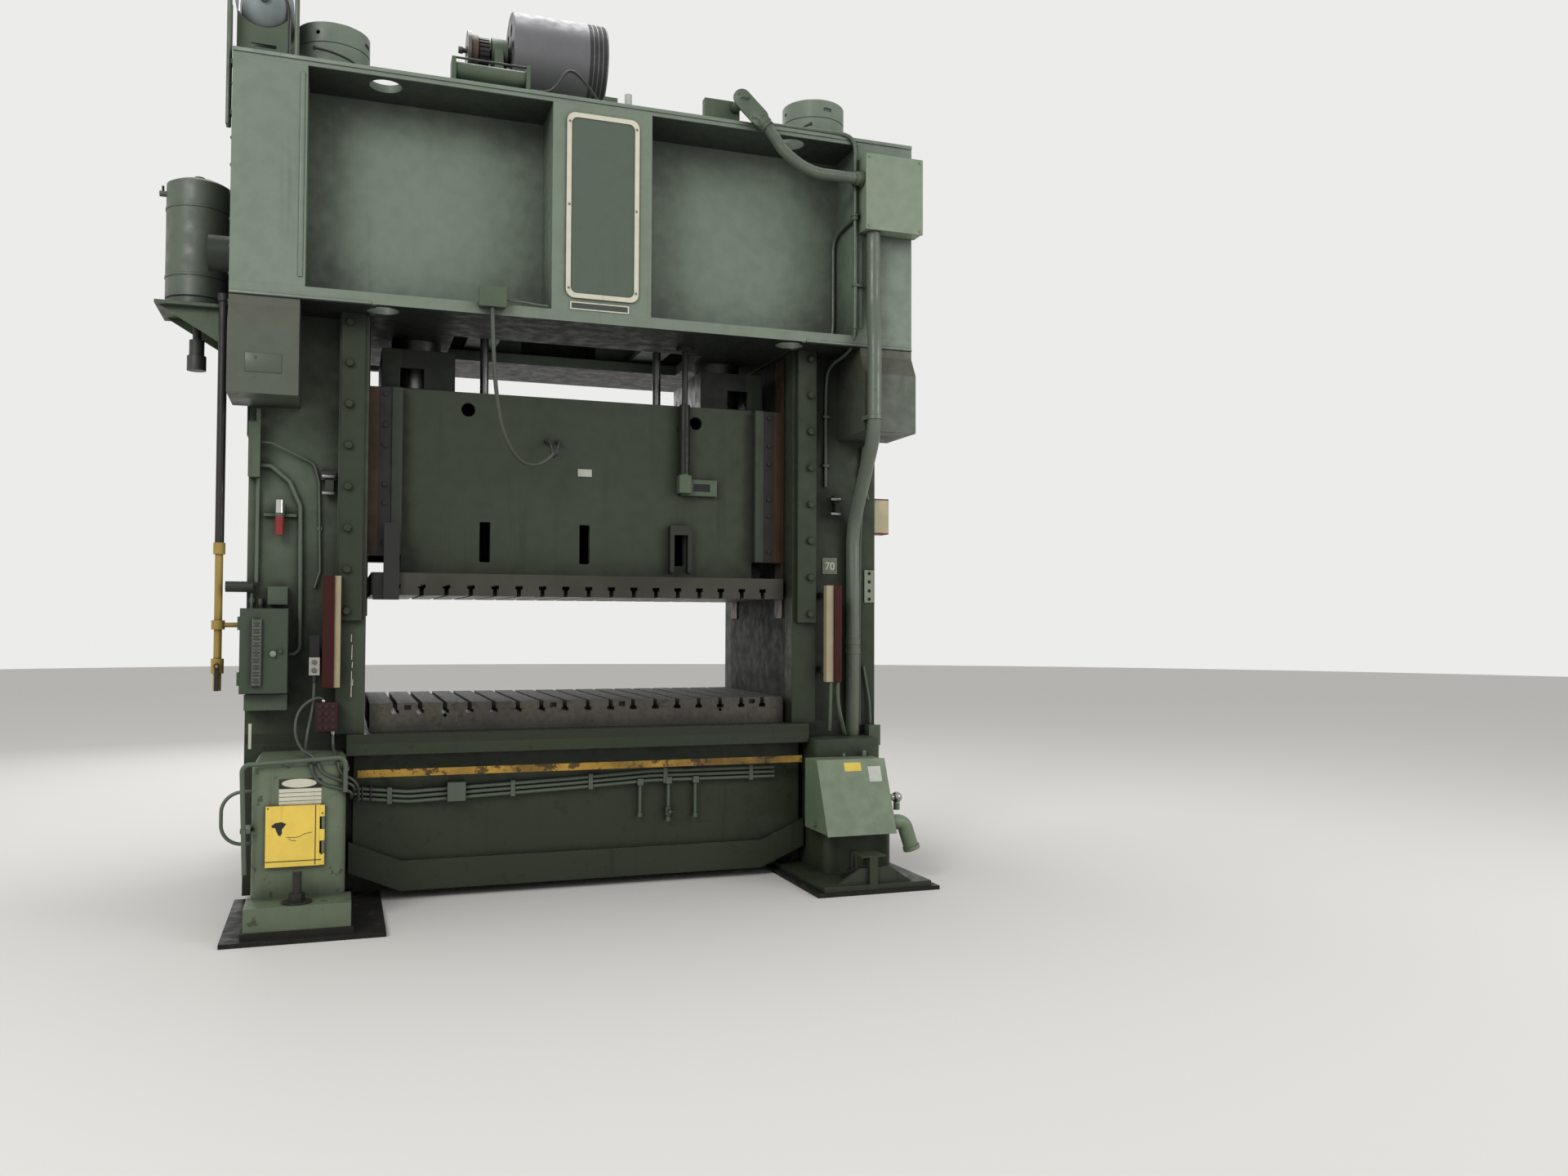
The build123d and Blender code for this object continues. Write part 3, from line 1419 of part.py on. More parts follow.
def make_lube_door():
    back = -cabinet_front - 1
    panel = block(cabinet_left + 2, cabinet_right - 2, back - lube_door_thick, back,
                  cabinet_low + 3, cabinet_high - 3)
    column = block(-2046, -1990, back - lube_door_thick - 22, back - 2, 1337, 1736)
    for i in range(9):
        column = column + rod("y", -2018, back - lube_door_thick - 28, 1365 + 43 * i, 12, 10)
    panel = panel + column + rod("y", -1885, back - lube_door_thick - 16, 1545, 13, 18)
    for z in (1350, 1680):
        knuckle = rod("z", lube_hinge_x, lube_hinge_y, z + 0.5, lube_knuckle, 59)
        leaf = block(lube_hinge_x, cabinet_left + 6, back - lube_door_thick, back - 2, z + 0.5, z + 59.5)
        panel = panel + knuckle + leaf
        panel = panel - rod("z", lube_hinge_x, lube_hinge_y, z - 5, lube_pin_radius + run_gap, 70)
    return panel


save("lube_cabinet", make_lube_cabinet())
save("lube_door", make_lube_door())


# Brackets: air tank shelf and saddles, curtain, sensor and lamp box brackets, handle rail
tank_stand = 237.0
tank_x = -crown_half - tank_stand
tank_y = -300.0
tank_radius = 187.0
tank_low = 3680.0
tank_high = 4510.0
shelf_out = tank_x - tank_radius - 29
shelf_low = 3655.0
shelf_thick = 20.0
shelf_front = -550.0
shelf_back = -50.0
drain_radius = 25.0
top_tank_x = -crown_half + 157
top_tank_z = crown_top + 380
top_tank_radius = 165.0
top_tank_front = -905.0
top_tank_back = -60.0
saddle_thick = 14.0
saddle_places = (-880.0, -200.0)
curtain_back = -835.0
curtain_front = -900.0


def make_brackets():
    face = column_face
    end = -crown_half - body_gap
    shelf = block(shelf_out, end, shelf_front, shelf_back, shelf_low, shelf_low + shelf_thick)
    shelf = shelf + block(end - 12, end, shelf_front, shelf_back, 3400, 3840)
    for y in (shelf_front + 60, shelf_back - 80):
        side = Polyline((end - 12, 3400), (end - 12, shelf_low), (shelf_out + 20, shelf_low), close=True)
        shelf = shelf + extrude(Plane.XZ.offset(-y) * make_face(side), 14)
    shelf = shelf - rod("z", tank_x, tank_y, shelf_low - 5, drain_radius + 4, shelf_thick + 10)
    parts = [shelf]
    for y in saddle_places:
        plate = block(top_tank_x - 150, top_tank_x + 150, y, y + saddle_thick, crown_top + body_gap,
                      top_tank_z - 90)
        plate = plate - rod("y", top_tank_x, y - 5, top_tank_z, top_tank_radius + body_gap, saddle_thick + 10)
        plate = plate - block(top_tank_x - 70, top_tank_x + 70, y - 5, y + saddle_thick + 5,
                              crown_top + 90, crown_top + 112)
        foot = block(top_tank_x - 150, top_tank_x + 150, y, y + 60, crown_top + body_gap,
                     crown_top + body_gap + 10)
        parts.append(plate + foot)
    post_face = -post_front - body_gap
    for z in (1380, 1660):
        parts.append(block(-1573, -1545, curtain_back + body_gap, post_face, z, z + 40))
    for z in (1380, 1900):
        parts.append(block(1650, 1690, curtain_back + body_gap, face, z, z + 40))
    parts.append(block(-1705, -1690, curtain_back + body_gap, face, 1440, 1600))
    parts.append(block(-1670, -1610, lamp_back + body_gap, face, 1100, 1190))
    sensor = block(-1676, -1584, -690, face, 2600, 2654) + block(-1650, -1600, -700, face, 2520, 2600)
    parts.append(sensor)
    sensor = block(1752, 1800, -690, face, 2580, 2634) + block(1762, 1800, -700, face, 2507, 2580)
    parts.append(sensor)
    parts.append(block(-2000, -1812, -672, face, 2366, 2384))
    parts.append(rod("z", -1908, -700, 2250, 26, 215) + block(-1920, -1896, -700, -671, 2366, 2384))
    parts.append(rod("z", -2008, -665, 1800.3, 16, 60) + block(-2020, -1996, -665, face, 1830, 1850))
    return parts


lamp_back = -800.0
save("brackets", make_brackets())


# Light-curtain bars, button station and lamp box
def make_curtains():
    parts = [block(-1651, -1585, curtain_front, curtain_back, 1324, 2000)]
    parts.append(block(-1584.7, -1548, curtain_front + 12, curtain_back, 1324, 2000))
    parts.append(block(1618, 1672.7, curtain_front + 12, curtain_back, 1319, 1987))
    parts.append(block(1673, 1728, curtain_front, curtain_back, 1319, 1987))
    return parts


station_left = -1724.0
station_right = -1664.0
button_x = -1694.0
button_places = (1478.0, 1430.0)
button_radius = 13.0
button_out = 9.0


def make_station():
    body = block(station_left, station_right, curtain_front, curtain_back, 1400, 1507)
    for z in button_places:
        body = body - rod("y", button_x, curtain_front - 5, z, button_radius + run_gap, 25)
    upper = block(station_left + 2, station_right - 2, curtain_front + 8, curtain_back, 1511, 1639)
    return [body, upper]


def make_button(z):
    return rod("y", button_x, curtain_front - button_out, z, button_radius, button_out + 14)


lamp_left = -1684.0
lamp_right = -1560.0
lamp_front = -880.0


def make_lamp_box():
    body = block(lamp_left, lamp_right, lamp_front, lamp_back, 1060, 1235)
    for i in range(3):
        for j in range(4):
            x = lamp_left + 24 + 38 * i
            z = 1085 + 42 * j
            body = body + rod("y", x, lamp_front - 8, z, 13, 9)
    return body


save("light_curtain_bars", make_curtains())
save("button_station", make_station())
save("upper_button", make_button(button_places[0]))
save("lower_button", make_button(button_places[1]))
save("lamp_box", make_lamp_box())


# Air tanks with domed ends
dome_height = 55.0


def domed(radius, length):
    # Cylinder on end with a shallow dome at each end
    cap = dome_height
    ball = (radius * radius + cap * cap) / (2 * cap)
    body = rod("z", 0, 0, cap, radius, length - 2 * cap)
    high = Pos(0, 0, length - ball) * Sphere(ball) & rod("z", 0, 0, length - cap, radius, cap + 5)
    low = Pos(0, 0, ball) * Sphere(ball) & rod("z", 0, 0, -5, radius, cap + 5)
    return body + high + low


def make_tanks():
    tank = Pos(tank_x, tank_y, tank_low) * domed(tank_radius, tank_high - tank_low)
    seat = shelf_low + shelf_thick + body_gap
    skirt = ring("z", tank_x, tank_y, seat, tank_radius - 10, tank_radius - 24, tank_low + 70 - seat)
    tank = tank + skirt
    for z in (3860, 4290):
        tank = tank + rod("z", tank_x, tank_y, z, tank_radius + 4, 14)
    tank = tank + rod("z", tank_x, tank_y, tank_high - 10, 30, 26)
    reach = -crown_half - body_gap - tank_x
    tank = tank + rod("x", tank_x, tank_y, 4075, 62, reach)
    drain = rod("z", tank_x, tank_y, 3480, drain_radius, tank_low + 20 - 3480)
    drain = drain + rod("z", tank_x, tank_y, 3380, 44, 110) + rod("z", tank_x, tank_y, 3300, 56, 90)
    port = rod("x", tank_x - tank_radius - 40, tank_y, 4400, 18, 60)
    top = Pos(top_tank_x, top_tank_back, top_tank_z) * Rot(90, 0, 0) * domed(
        top_tank_radius, top_tank_back - top_tank_front)
    plug = rod("y", top_tank_x, top_tank_front - 22, top_tank_z, 24, 40)
    return [tank + drain + port, top + plug]


save("air_tanks", make_tanks())


# Supply pipe with its shut-off valve
supply_stand = 63.0
supply_x = -crown_half - supply_stand
supply_y = -600.0
supply_radius = 26.0
supply_low = 1300.0
supply_split = 2200.0
supply_high = 3720.0
valve_z = 1450.0


def make_supply_pipe():
    upper = rod("z", supply_x, supply_y, supply_split, supply_radius, supply_high - supply_split)
    lower = rod("z", supply_x, supply_y, supply_low, supply_radius - 3, supply_split - supply_low)
    lower = lower + rod("z", supply_x, supply_y, supply_split - 70, supply_radius + 8, 70)
    end = -crown_half - body_gap
    upper = upper + block(supply_x, end, supply_y - 15, supply_y + 15, 3660, 3690)
    upper = upper + rod("z", supply_x, supply_y, supply_high - 40, supply_radius + 8, 46)
    lower = lower + rod("x", supply_x, supply_y, 1700, 15, -upright_outer - body_gap - supply_x)
    lower = lower + rod("z", supply_x, supply_y, 1672, 38, 56)
    body = rod("z", supply_x, supply_y, valve_z - 45, 36, 90)
    stem = rod("y", supply_x, supply_y - 60, valve_z, lever_stem, 60)
    return [upper, lower + body + stem]


lever_stem = 9.0
lever_length = 150.0
lever_width = 24.0
lever_thick = 6.0


def lever(x, y, z, drop):
    # Flat handle with a hub round its stem; drop is the angle below the horizontal
    hub = rod("y", x, y - 14, z, 17, 14)
    arm = block(0, lever_length, -lever_thick, 0, -lever_width / 2, lever_width / 2)
    arm = Pos(x, y - 4, z) * Rot(0, drop, 0) * arm
    return hub + arm - rod("y", x, y - 20, z, lever_stem + run_gap, 40)


save("supply_pipe", make_supply_pipe())
save("supply_valve_lever", lever(supply_x, supply_y - 42, valve_z, 90))


# Yellow rail along the bed front
rail_half = 1440.0
rail_low = 775.0
rail_high = 820.0
rail_front = -890.0
rail_thick = 12.0


def make_rail():
    bar = block(-rail_half, rail_half, rail_front, rail_front + rail_thick, rail_low, rail_high)
    bar = bar + block(-rail_half, rail_half, rail_front, rail_front + 60, rail_low, rail_low + 8)
    for x in (-1300, -650, 0, 650, 1300):
        bar = bar + block(x - 20, x + 20, rail_front + rail_thick, -bed_web_front - body_gap,
                          rail_low, rail_low + 10)
    return bar


save("front_rail", make_rail())


# Conduits on the bed front, with hanging drain pipes and a drain valve
bundle_y = -795.0
bundle_radius = 12.0
bundle_run = [(-1427, 668), (-1140, 638), (-129, 680), (411, 710), (1270, 706)]
bundle_steps = (0.0, 30.0, -30.0)
hang_places = ((330.0, 447.0), (523.0, 411.0), (709.0, 429.0))


def bundle_height(x):
    for (x0, z0), (x1, z1) in zip(bundle_run, bundle_run[1:]):
        if x0 <= x <= x1:
            return z0 + (z1 - z0) * (x - x0) / (x1 - x0)
    return bundle_run[0][1]


def make_bed_conduits():
    face = -bed_web_front - body_gap
    pipes = []
    for step in bundle_steps:
        points = [(x, bundle_y, z + step) for x, z in bundle_run]
        pipes.append(pipe(points, bundle_radius, 400))
    whole = pipes[0] + pipes[1] + pipes[2]
    for x in (-1250, -500, 0, 500, 1100):
        z = bundle_height(x)
        whole = whole + block(x - 14, x + 14, bundle_y, face, z - 48, z + 48)
        whole = whole + block(x - 14, x + 14, bundle_y - 15, bundle_y, z - 50, z + 50)
    whole = whole + block(-906, -796, bundle_y - 50, face, 604, 721)
    for x, low in hang_places:
        z = bundle_height(x) - 30
        whole = whole + block(x - 20, x + 20, bundle_y - 20, face, z - 25, z + 18)
        whole = whole + rod("z", x, bundle_y, low, 11, z - low)
        whole = whole + rod("z", x, bundle_y, low - 6, 16, 28)
    x, low = hang_places[1]
    whole = whole + rod("z", x, bundle_y, low + 35, 19, 50)
    return whole + rod("y", x, bundle_y - 52, low + 60, lever_stem, 52)


def make_bed_handle():
    x, low = hang_places[1]
    y = bundle_y - 36
    bar = block(x - 8, x + 92, y - 10, y - 3, low + 52, low + 68)
    hub = rod("y", x, y - 14, low + 60, 16, 14)
    return bar + hub - rod("y", x, y - 20, low + 60, lever_stem + run_gap, 40)


save("bed_conduits", make_bed_conduits())
save("bed_valve_handle", make_bed_handle())


# Control box with a sloping front on the right foot
panel_left = 1426.0
panel_right = 1916.0
panel_top = 812.0
panel_low = 350.0
panel_top_front = -1200.0
panel_low_front = -1400.0
lid_thick = 12.0
duct_y = 1300.0
duct_z = 402.0
duct_radius = 50.0
ball_y = 1060.0
ball_z = 530.0


def make_control_box():
    back = -right_foot_back - body_gap
    side = Polyline((back, panel_low), (back, panel_top), (panel_top_front + lid_thick, panel_top),
                    (panel_low_front + lid_thick, panel_low), close=True)
    body = extrude(Plane.YZ.offset(panel_left + 6) * make_face(side), panel_right - panel_left - 12)
    cover = Polyline((panel_top_front + lid_thick, panel_top), (panel_top_front, panel_top + 6),
                     (panel_low_front - 3, panel_low - 6), (panel_low_front + lid_thick, panel_low),
                     close=True)
    lid = extrude(Plane.YZ.offset(panel_left) * make_face(cover), panel_right - panel_left)
    wall = 8
    inner = Polyline((back - wall, panel_low + wall), (back - wall, panel_top - wall),
                     (panel_top_front + lid_thick + 2, panel_top - wall),
                     (panel_low_front + lid_thick + wall, panel_low + wall), close=True)
    room = extrude(Plane.YZ.offset(panel_left + 14) * make_face(inner), panel_right - panel_left - 28)
    start = (panel_right - 8, -duct_y, duct_z)
    turn = (panel_right + 94, -duct_y, duct_z)
    end = (panel_right + 152, -duct_y - 10, duct_z - 185)
    elbow = pipe([start, turn, end], duct_radius, 60)
    near_end = (panel_right + 144, -duct_y - 9, duct_z - 160)
    collar = pipe([near_end, end], duct_radius + 7, 0)
    ball_x = panel_right + 156
    small = rod("x", panel_right - 8, -ball_y, ball_z, 24, 160) + Pos(ball_x, -ball_y, ball_z) * Sphere(38)
    small = small + rod("z", ball_x, -ball_y, ball_z - 85, 22, 80)
    gland = rod("x", panel_left - 28, -1180, 392, 12, 40)
    knob = rod("z", 1850, -1010, panel_top, 14, 40) + rod("z", 1700, -1010, panel_top, 10, 26)
    return body - room + lid + elbow + collar + small + gland + knob


save("control_box", make_control_box())
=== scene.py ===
import bpy
import bmesh
import math
from mathutils import Matrix, Vector


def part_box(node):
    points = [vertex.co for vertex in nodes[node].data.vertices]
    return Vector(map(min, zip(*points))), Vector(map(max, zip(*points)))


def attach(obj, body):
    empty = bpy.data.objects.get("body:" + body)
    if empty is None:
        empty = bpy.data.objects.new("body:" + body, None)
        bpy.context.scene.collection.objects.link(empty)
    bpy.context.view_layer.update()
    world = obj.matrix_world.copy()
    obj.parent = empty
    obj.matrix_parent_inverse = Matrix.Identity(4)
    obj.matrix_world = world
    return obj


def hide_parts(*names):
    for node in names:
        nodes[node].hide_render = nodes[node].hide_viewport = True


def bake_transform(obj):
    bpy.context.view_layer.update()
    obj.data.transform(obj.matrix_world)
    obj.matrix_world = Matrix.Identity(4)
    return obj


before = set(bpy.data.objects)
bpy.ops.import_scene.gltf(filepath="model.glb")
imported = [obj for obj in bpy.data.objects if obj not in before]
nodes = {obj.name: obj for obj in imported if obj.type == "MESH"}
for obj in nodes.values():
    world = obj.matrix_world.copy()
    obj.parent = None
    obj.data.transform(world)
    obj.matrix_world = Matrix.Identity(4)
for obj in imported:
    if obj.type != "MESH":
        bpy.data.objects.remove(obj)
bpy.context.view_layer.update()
print("frame loaded:", len(nodes), "nodes")


def sceneAdd(obj):
    bpy.context.scene.collection.objects.link(obj)
    return obj


# camera, where the photograph was taken from
photoView = {"place": (-1.567, -8.852, 1.713), "lens": 28.418, "yaw": 19.8266, "pitch": 1.70485,
             "roll": 0.21107}


def addCamera():
    data = bpy.data.cameras.new("photoView")
    data.sensor_width = 36.0
    data.lens = photoView["lens"]
    data.clip_end = 200.0
    yaw, pitch, roll = (math.radians(photoView[key]) for key in ("yaw", "pitch", "roll"))
    ahead = Vector((math.sin(yaw) * math.cos(pitch), math.cos(yaw) * math.cos(pitch), math.sin(pitch)))
    level = Vector((math.cos(yaw), -math.sin(yaw), 0))
    upright = level.cross(ahead)
    right = math.cos(roll) * level + math.sin(roll) * upright
    up = math.cos(roll) * upright - math.sin(roll) * level
    camera = sceneAdd(bpy.data.objects.new("photoView", data))
    turn = Matrix((right, up, -ahead)).transposed().to_4x4()
    camera.matrix_world = Matrix.Translation(photoView["place"]) @ turn
    bpy.context.scene.camera = camera


addCamera()
bpy.context.scene.view_settings.view_transform = "Standard"
print("camera set")


# colours are written as the eye reads them, 0 to 255
def tone(red, green, blue):
    parts = [c / 255 for c in (red, green, blue)]
    return tuple(c / 12.92 if c <= 0.04045 else ((c + 0.055) / 1.055) ** 2.4 for c in parts) + (1.0,)


def join(tree, value, socket):
    # a constant is set on the socket, an output is linked to it
    if isinstance(value, (int, float, tuple)):
        socket.default_value = value
    else:
        tree.links.new(value, socket)


def mathOf(tree, operation, a, b, clampIt=False):
    node = tree.nodes.new("ShaderNodeMath")
    node.operation = operation
    node.use_clamp = clampIt
    join(tree, a, node.inputs[0])
    join(tree, b, node.inputs[1])
    return node.outputs[0]


def product(tree, a, b):
    return mathOf(tree, "MULTIPLY", a, b)


def vectorOf(tree, operation, a, b):
    node = tree.nodes.new("ShaderNodeVectorMath")
    node.operation = operation
    join(tree, a, node.inputs[0])
    join(tree, b, node.inputs[1])
    return node.outputs


def axesOf(tree, vector):
    node = tree.nodes.new("ShaderNodeSeparateXYZ")
    join(tree, vector, node.inputs[0])
    return node.outputs


def mixOf(tree, kind, mask, first, second):
    node = tree.nodes.new("ShaderNodeMix")
    node.data_type = kind
    start, end = (6, 2) if kind == "RGBA" else (2, 0)
    for i, value in ((0, mask), (start, first), (start + 1, second)):
        join(tree, value, node.inputs[i])
    return node.outputs[end]


def rampOf(tree, value, low, high, first=0.0, last=1.0):
    node = tree.nodes.new("ShaderNodeMapRange")
    node.interpolation_type = "SMOOTHSTEP"
    for i, item in enumerate((value, low, high, first, last)):
        join(tree, item, node.inputs[i])
    return node.outputs[0]


def noiseOf(tree, where, scale, detail=3.0, rough=0.55):
    node = tree.nodes.new("ShaderNodeTexNoise")
    for key, value in (("Vector", where), ("Scale", scale), ("Detail", detail), ("Roughness", rough)):
        join(tree, value, node.inputs[key])
    return node.outputs["Fac"]


def stretched(tree, where, size):
    node = tree.nodes.new("ShaderNodeMapping")
    tree.links.new(where, node.inputs["Vector"])
    node.inputs["Scale"].default_value = size
    return node.outputs[0]


def newGroup(name, inputs, outputs):
    group = bpy.data.node_groups.new(name, "ShaderNodeTree")
    for label, kind, value in inputs:
        socket = group.interface.new_socket(label, in_out="INPUT", socket_type=kind)
        socket.default_value = value
    for label, kind in outputs:
        group.interface.new_socket(label, in_out="OUTPUT", socket_type=kind)
    start = group.nodes.new("NodeGroupInput")
    end = group.nodes.new("NodeGroupOutput")
    place = group.nodes.new("ShaderNodeTexCoord").outputs["Object"]
    return group, start.outputs, end.inputs, place


floatSocket, vectorSocket = "NodeSocketFloat", "NodeSocketVector"


def makeMottle():
    group, given, result, place = newGroup("paintMottle", [("Broad Scale", floatSocket, 0.7),
                                                          ("Fine Scale", floatSocket, 14.0)],
                                           [("Broad", floatSocket), ("Fine", floatSocket), ("Grain", floatSocket)])
    join(group, rampOf(group, noiseOf(group, place, given["Broad Scale"], 4.0), 0.3, 0.7), result["Broad"])
    join(group, rampOf(group, noiseOf(group, place, given["Fine Scale"], 5.0), 0.3, 0.7), result["Fine"])
    join(group, noiseOf(group, place, 190.0, 2.0), result["Grain"])
    return group


def makeRunMarks():
    # thin dirty streaks that run down upright faces
    group, given, result, place = newGroup("runMarks", [("Width Scale", floatSocket, 11.0),
                                                       ("Threshold", floatSocket, 0.56)],
                                           [("Mask", floatSocket)])
    thin = stretched(group, place, (1.0, 1.0, 0.05))
    lines = noiseOf(group, thin, given["Width Scale"], 5.0, 0.6)
    patches = rampOf(group, noiseOf(group, place, 0.9, 3.0), 0.42, 0.66)
    edge = mathOf(group, "ADD", given["Threshold"], 0.13)
    join(group, product(group, rampOf(group, lines, given["Threshold"], edge), patches), result["Mask"])
    return group


def makeCornerShadeAndGrime():
    # painted shade in inner corners, recesses and gaps between parts, from ambient occlusion, broken up with noise
    # into the dirt that gathers there
    group, given, result, place = newGroup("cornerShadeAndGrime", [("Reach", floatSocket, 0.12),
                                                          ("Start", floatSocket, 0.05)],
                                           [("Mask", floatSocket)])
    shade = group.nodes.new("ShaderNodeAmbientOcclusion")
    shade.samples = 6
    join(group, given["Reach"], shade.inputs["Distance"])
    hidden = mathOf(group, "SUBTRACT", 1.0, shade.outputs["AO"])
    ragged = product(group, hidden, mathOf(group, "ADD", noiseOf(group, place, 9.0, 5.0), 0.45))
    join(group, rampOf(group, ragged, given["Start"], 0.62), result["Mask"])
    return group


def makeEdgeWearAndHighlight():
    # rounded edges, and a mask along them for the paint rubbed off them; where a finish gives a lighter green, it is a
    # painted highlight on edges that catch the light
    group, given, result, place = newGroup("edgeWearAndHighlight", [("Radius", floatSocket, 0.006),
                                                       ("Threshold", floatSocket, 0.5)],
                                           [("Mask", floatSocket), ("Soft", vectorSocket)])
    soft = group.nodes.new("ShaderNodeBevel")
    soft.samples = 4
    join(group, given["Radius"], soft.inputs["Radius"])
    flat = group.nodes.new("ShaderNodeNewGeometry").outputs["Normal"]
    turn = vectorOf(group, "DOT_PRODUCT", soft.outputs[0], flat)["Value"]
    edge = rampOf(group, mathOf(group, "SUBTRACT", 1.0, turn), 0.01, 0.22)
    limit = mathOf(group, "ADD", given["Threshold"], 0.06)
    brokenUp = rampOf(group, noiseOf(group, place, 24.0, 6.0, 0.65), given["Threshold"], limit)
    join(group, product(group, edge, brokenUp), result["Mask"])
    join(group, soft.outputs[0], result["Soft"])
    return group


def makeLowShadeAndDirt():
    # darker towards the floor: oil and dust, and painted shade where the light from above reaches less
    group, given, result, place = newGroup("lowShadeAndDirt", [("Full Below", floatSocket, 0.1),
                                                      ("Clean Above", floatSocket, 2.2)],
                                           [("Mask", floatSocket)])
    cloud = product(group, noiseOf(group, place, 2.3, 5.0), 1.3)
    height = mathOf(group, "SUBTRACT", mathOf(group, "ADD", axesOf(group, place)["Z"], cloud), 0.65)
    join(group, rampOf(group, height, given["Full Below"], given["Clean Above"], 1.0, 0.0), result["Mask"])
    return group


def makeSpots():
    # spots, chips and specks
    group, given, result, place = newGroup("spots", [("Scale", floatSocket, 18.0), ("Threshold", floatSocket, 0.66)],
                                           [("Mask", floatSocket)])
    cells = noiseOf(group, place, given["Scale"], 6.0, 0.7)
    limit = mathOf(group, "ADD", given["Threshold"], 0.03)
    join(group, rampOf(group, cells, given["Threshold"], limit), result["Mask"])
    return group


def makeBoxMask():
    # 1 inside a box given by its two corners
    group, given, result, place = newGroup("boxMask", [("Low", vectorSocket, (0, 0, 0)),
                                                       ("High", vectorSocket, (1, 1, 1))],
                                           [("Mask", floatSocket)])
    past = vectorOf(group, "SUBTRACT", place, given["Low"])[0]
    short = vectorOf(group, "SUBTRACT", given["High"], place)[0]
    x, y, z = axesOf(group, vectorOf(group, "MINIMUM", past, short)[0])
    lowest = mathOf(group, "MINIMUM", mathOf(group, "MINIMUM", x, y), z)
    join(group, mathOf(group, "GREATER_THAN", lowest, 0.0), result["Mask"])
    return group


groups = {"mottle": makeMottle(), "runs": makeRunMarks(), "corner": makeCornerShadeAndGrime(), "edge": makeEdgeWearAndHighlight(),
          "low": makeLowShadeAndDirt(), "spots": makeSpots(), "box": makeBoxMask()}


def useGroup(tree, name, **values):
    node = tree.nodes.new("ShaderNodeGroup")
    node.node_tree = groups[name]
    for key, value in values.items():
        node.inputs[key.replace("_", " ")].default_value = value
    return node.outputs


# what a finish is when its own dictionary doesn't say otherwise
plainFinish = {"colour": (104, 121, 102), "shade": (88, 104, 86), "shadeAmount": 0.5, "fine": 0.10, "rough": 0.48,
               "metal": 0.0, "runs": 0.35, "runTone": (52, 56, 44), "shadeAndGrime": 0.75, "shadeAndGrimeTone": (24, 25, 20),
               "reach": 0.14, "low": 0.5, "lowTone": (50, 58, 42), "lowBelow": 0.1, "lowAbove": 3.0,
               "wearAndHighlight": 0.7, "wearAndHighlightTone": (60, 58, 50), "edgeMarkLimit": 0.56, "edge": 0.005, "bump": 0.25,
               "grain": 0.0006, "spots": 0.5, "spotTone": (40, 42, 34), "spotScale": 14.0, "spotLimit": 0.68,
               "broadScale": 0.6, "fineScale": 11.0, "gloss": 0.5, "zones": []}


def patch(low, high, colour, rough=None, metal=None):
    zone = {"low": low, "high": high, "colour": colour}
    if rough is not None:
        zone["rough"] = rough
    if metal is not None:
        zone["metal"] = metal
    return zone


def layered(tree, colour, mask, amount, tint):
    share = product(tree, mask, amount)
    return mixOf(tree, "RGBA", share, colour, tone(*tint)), share


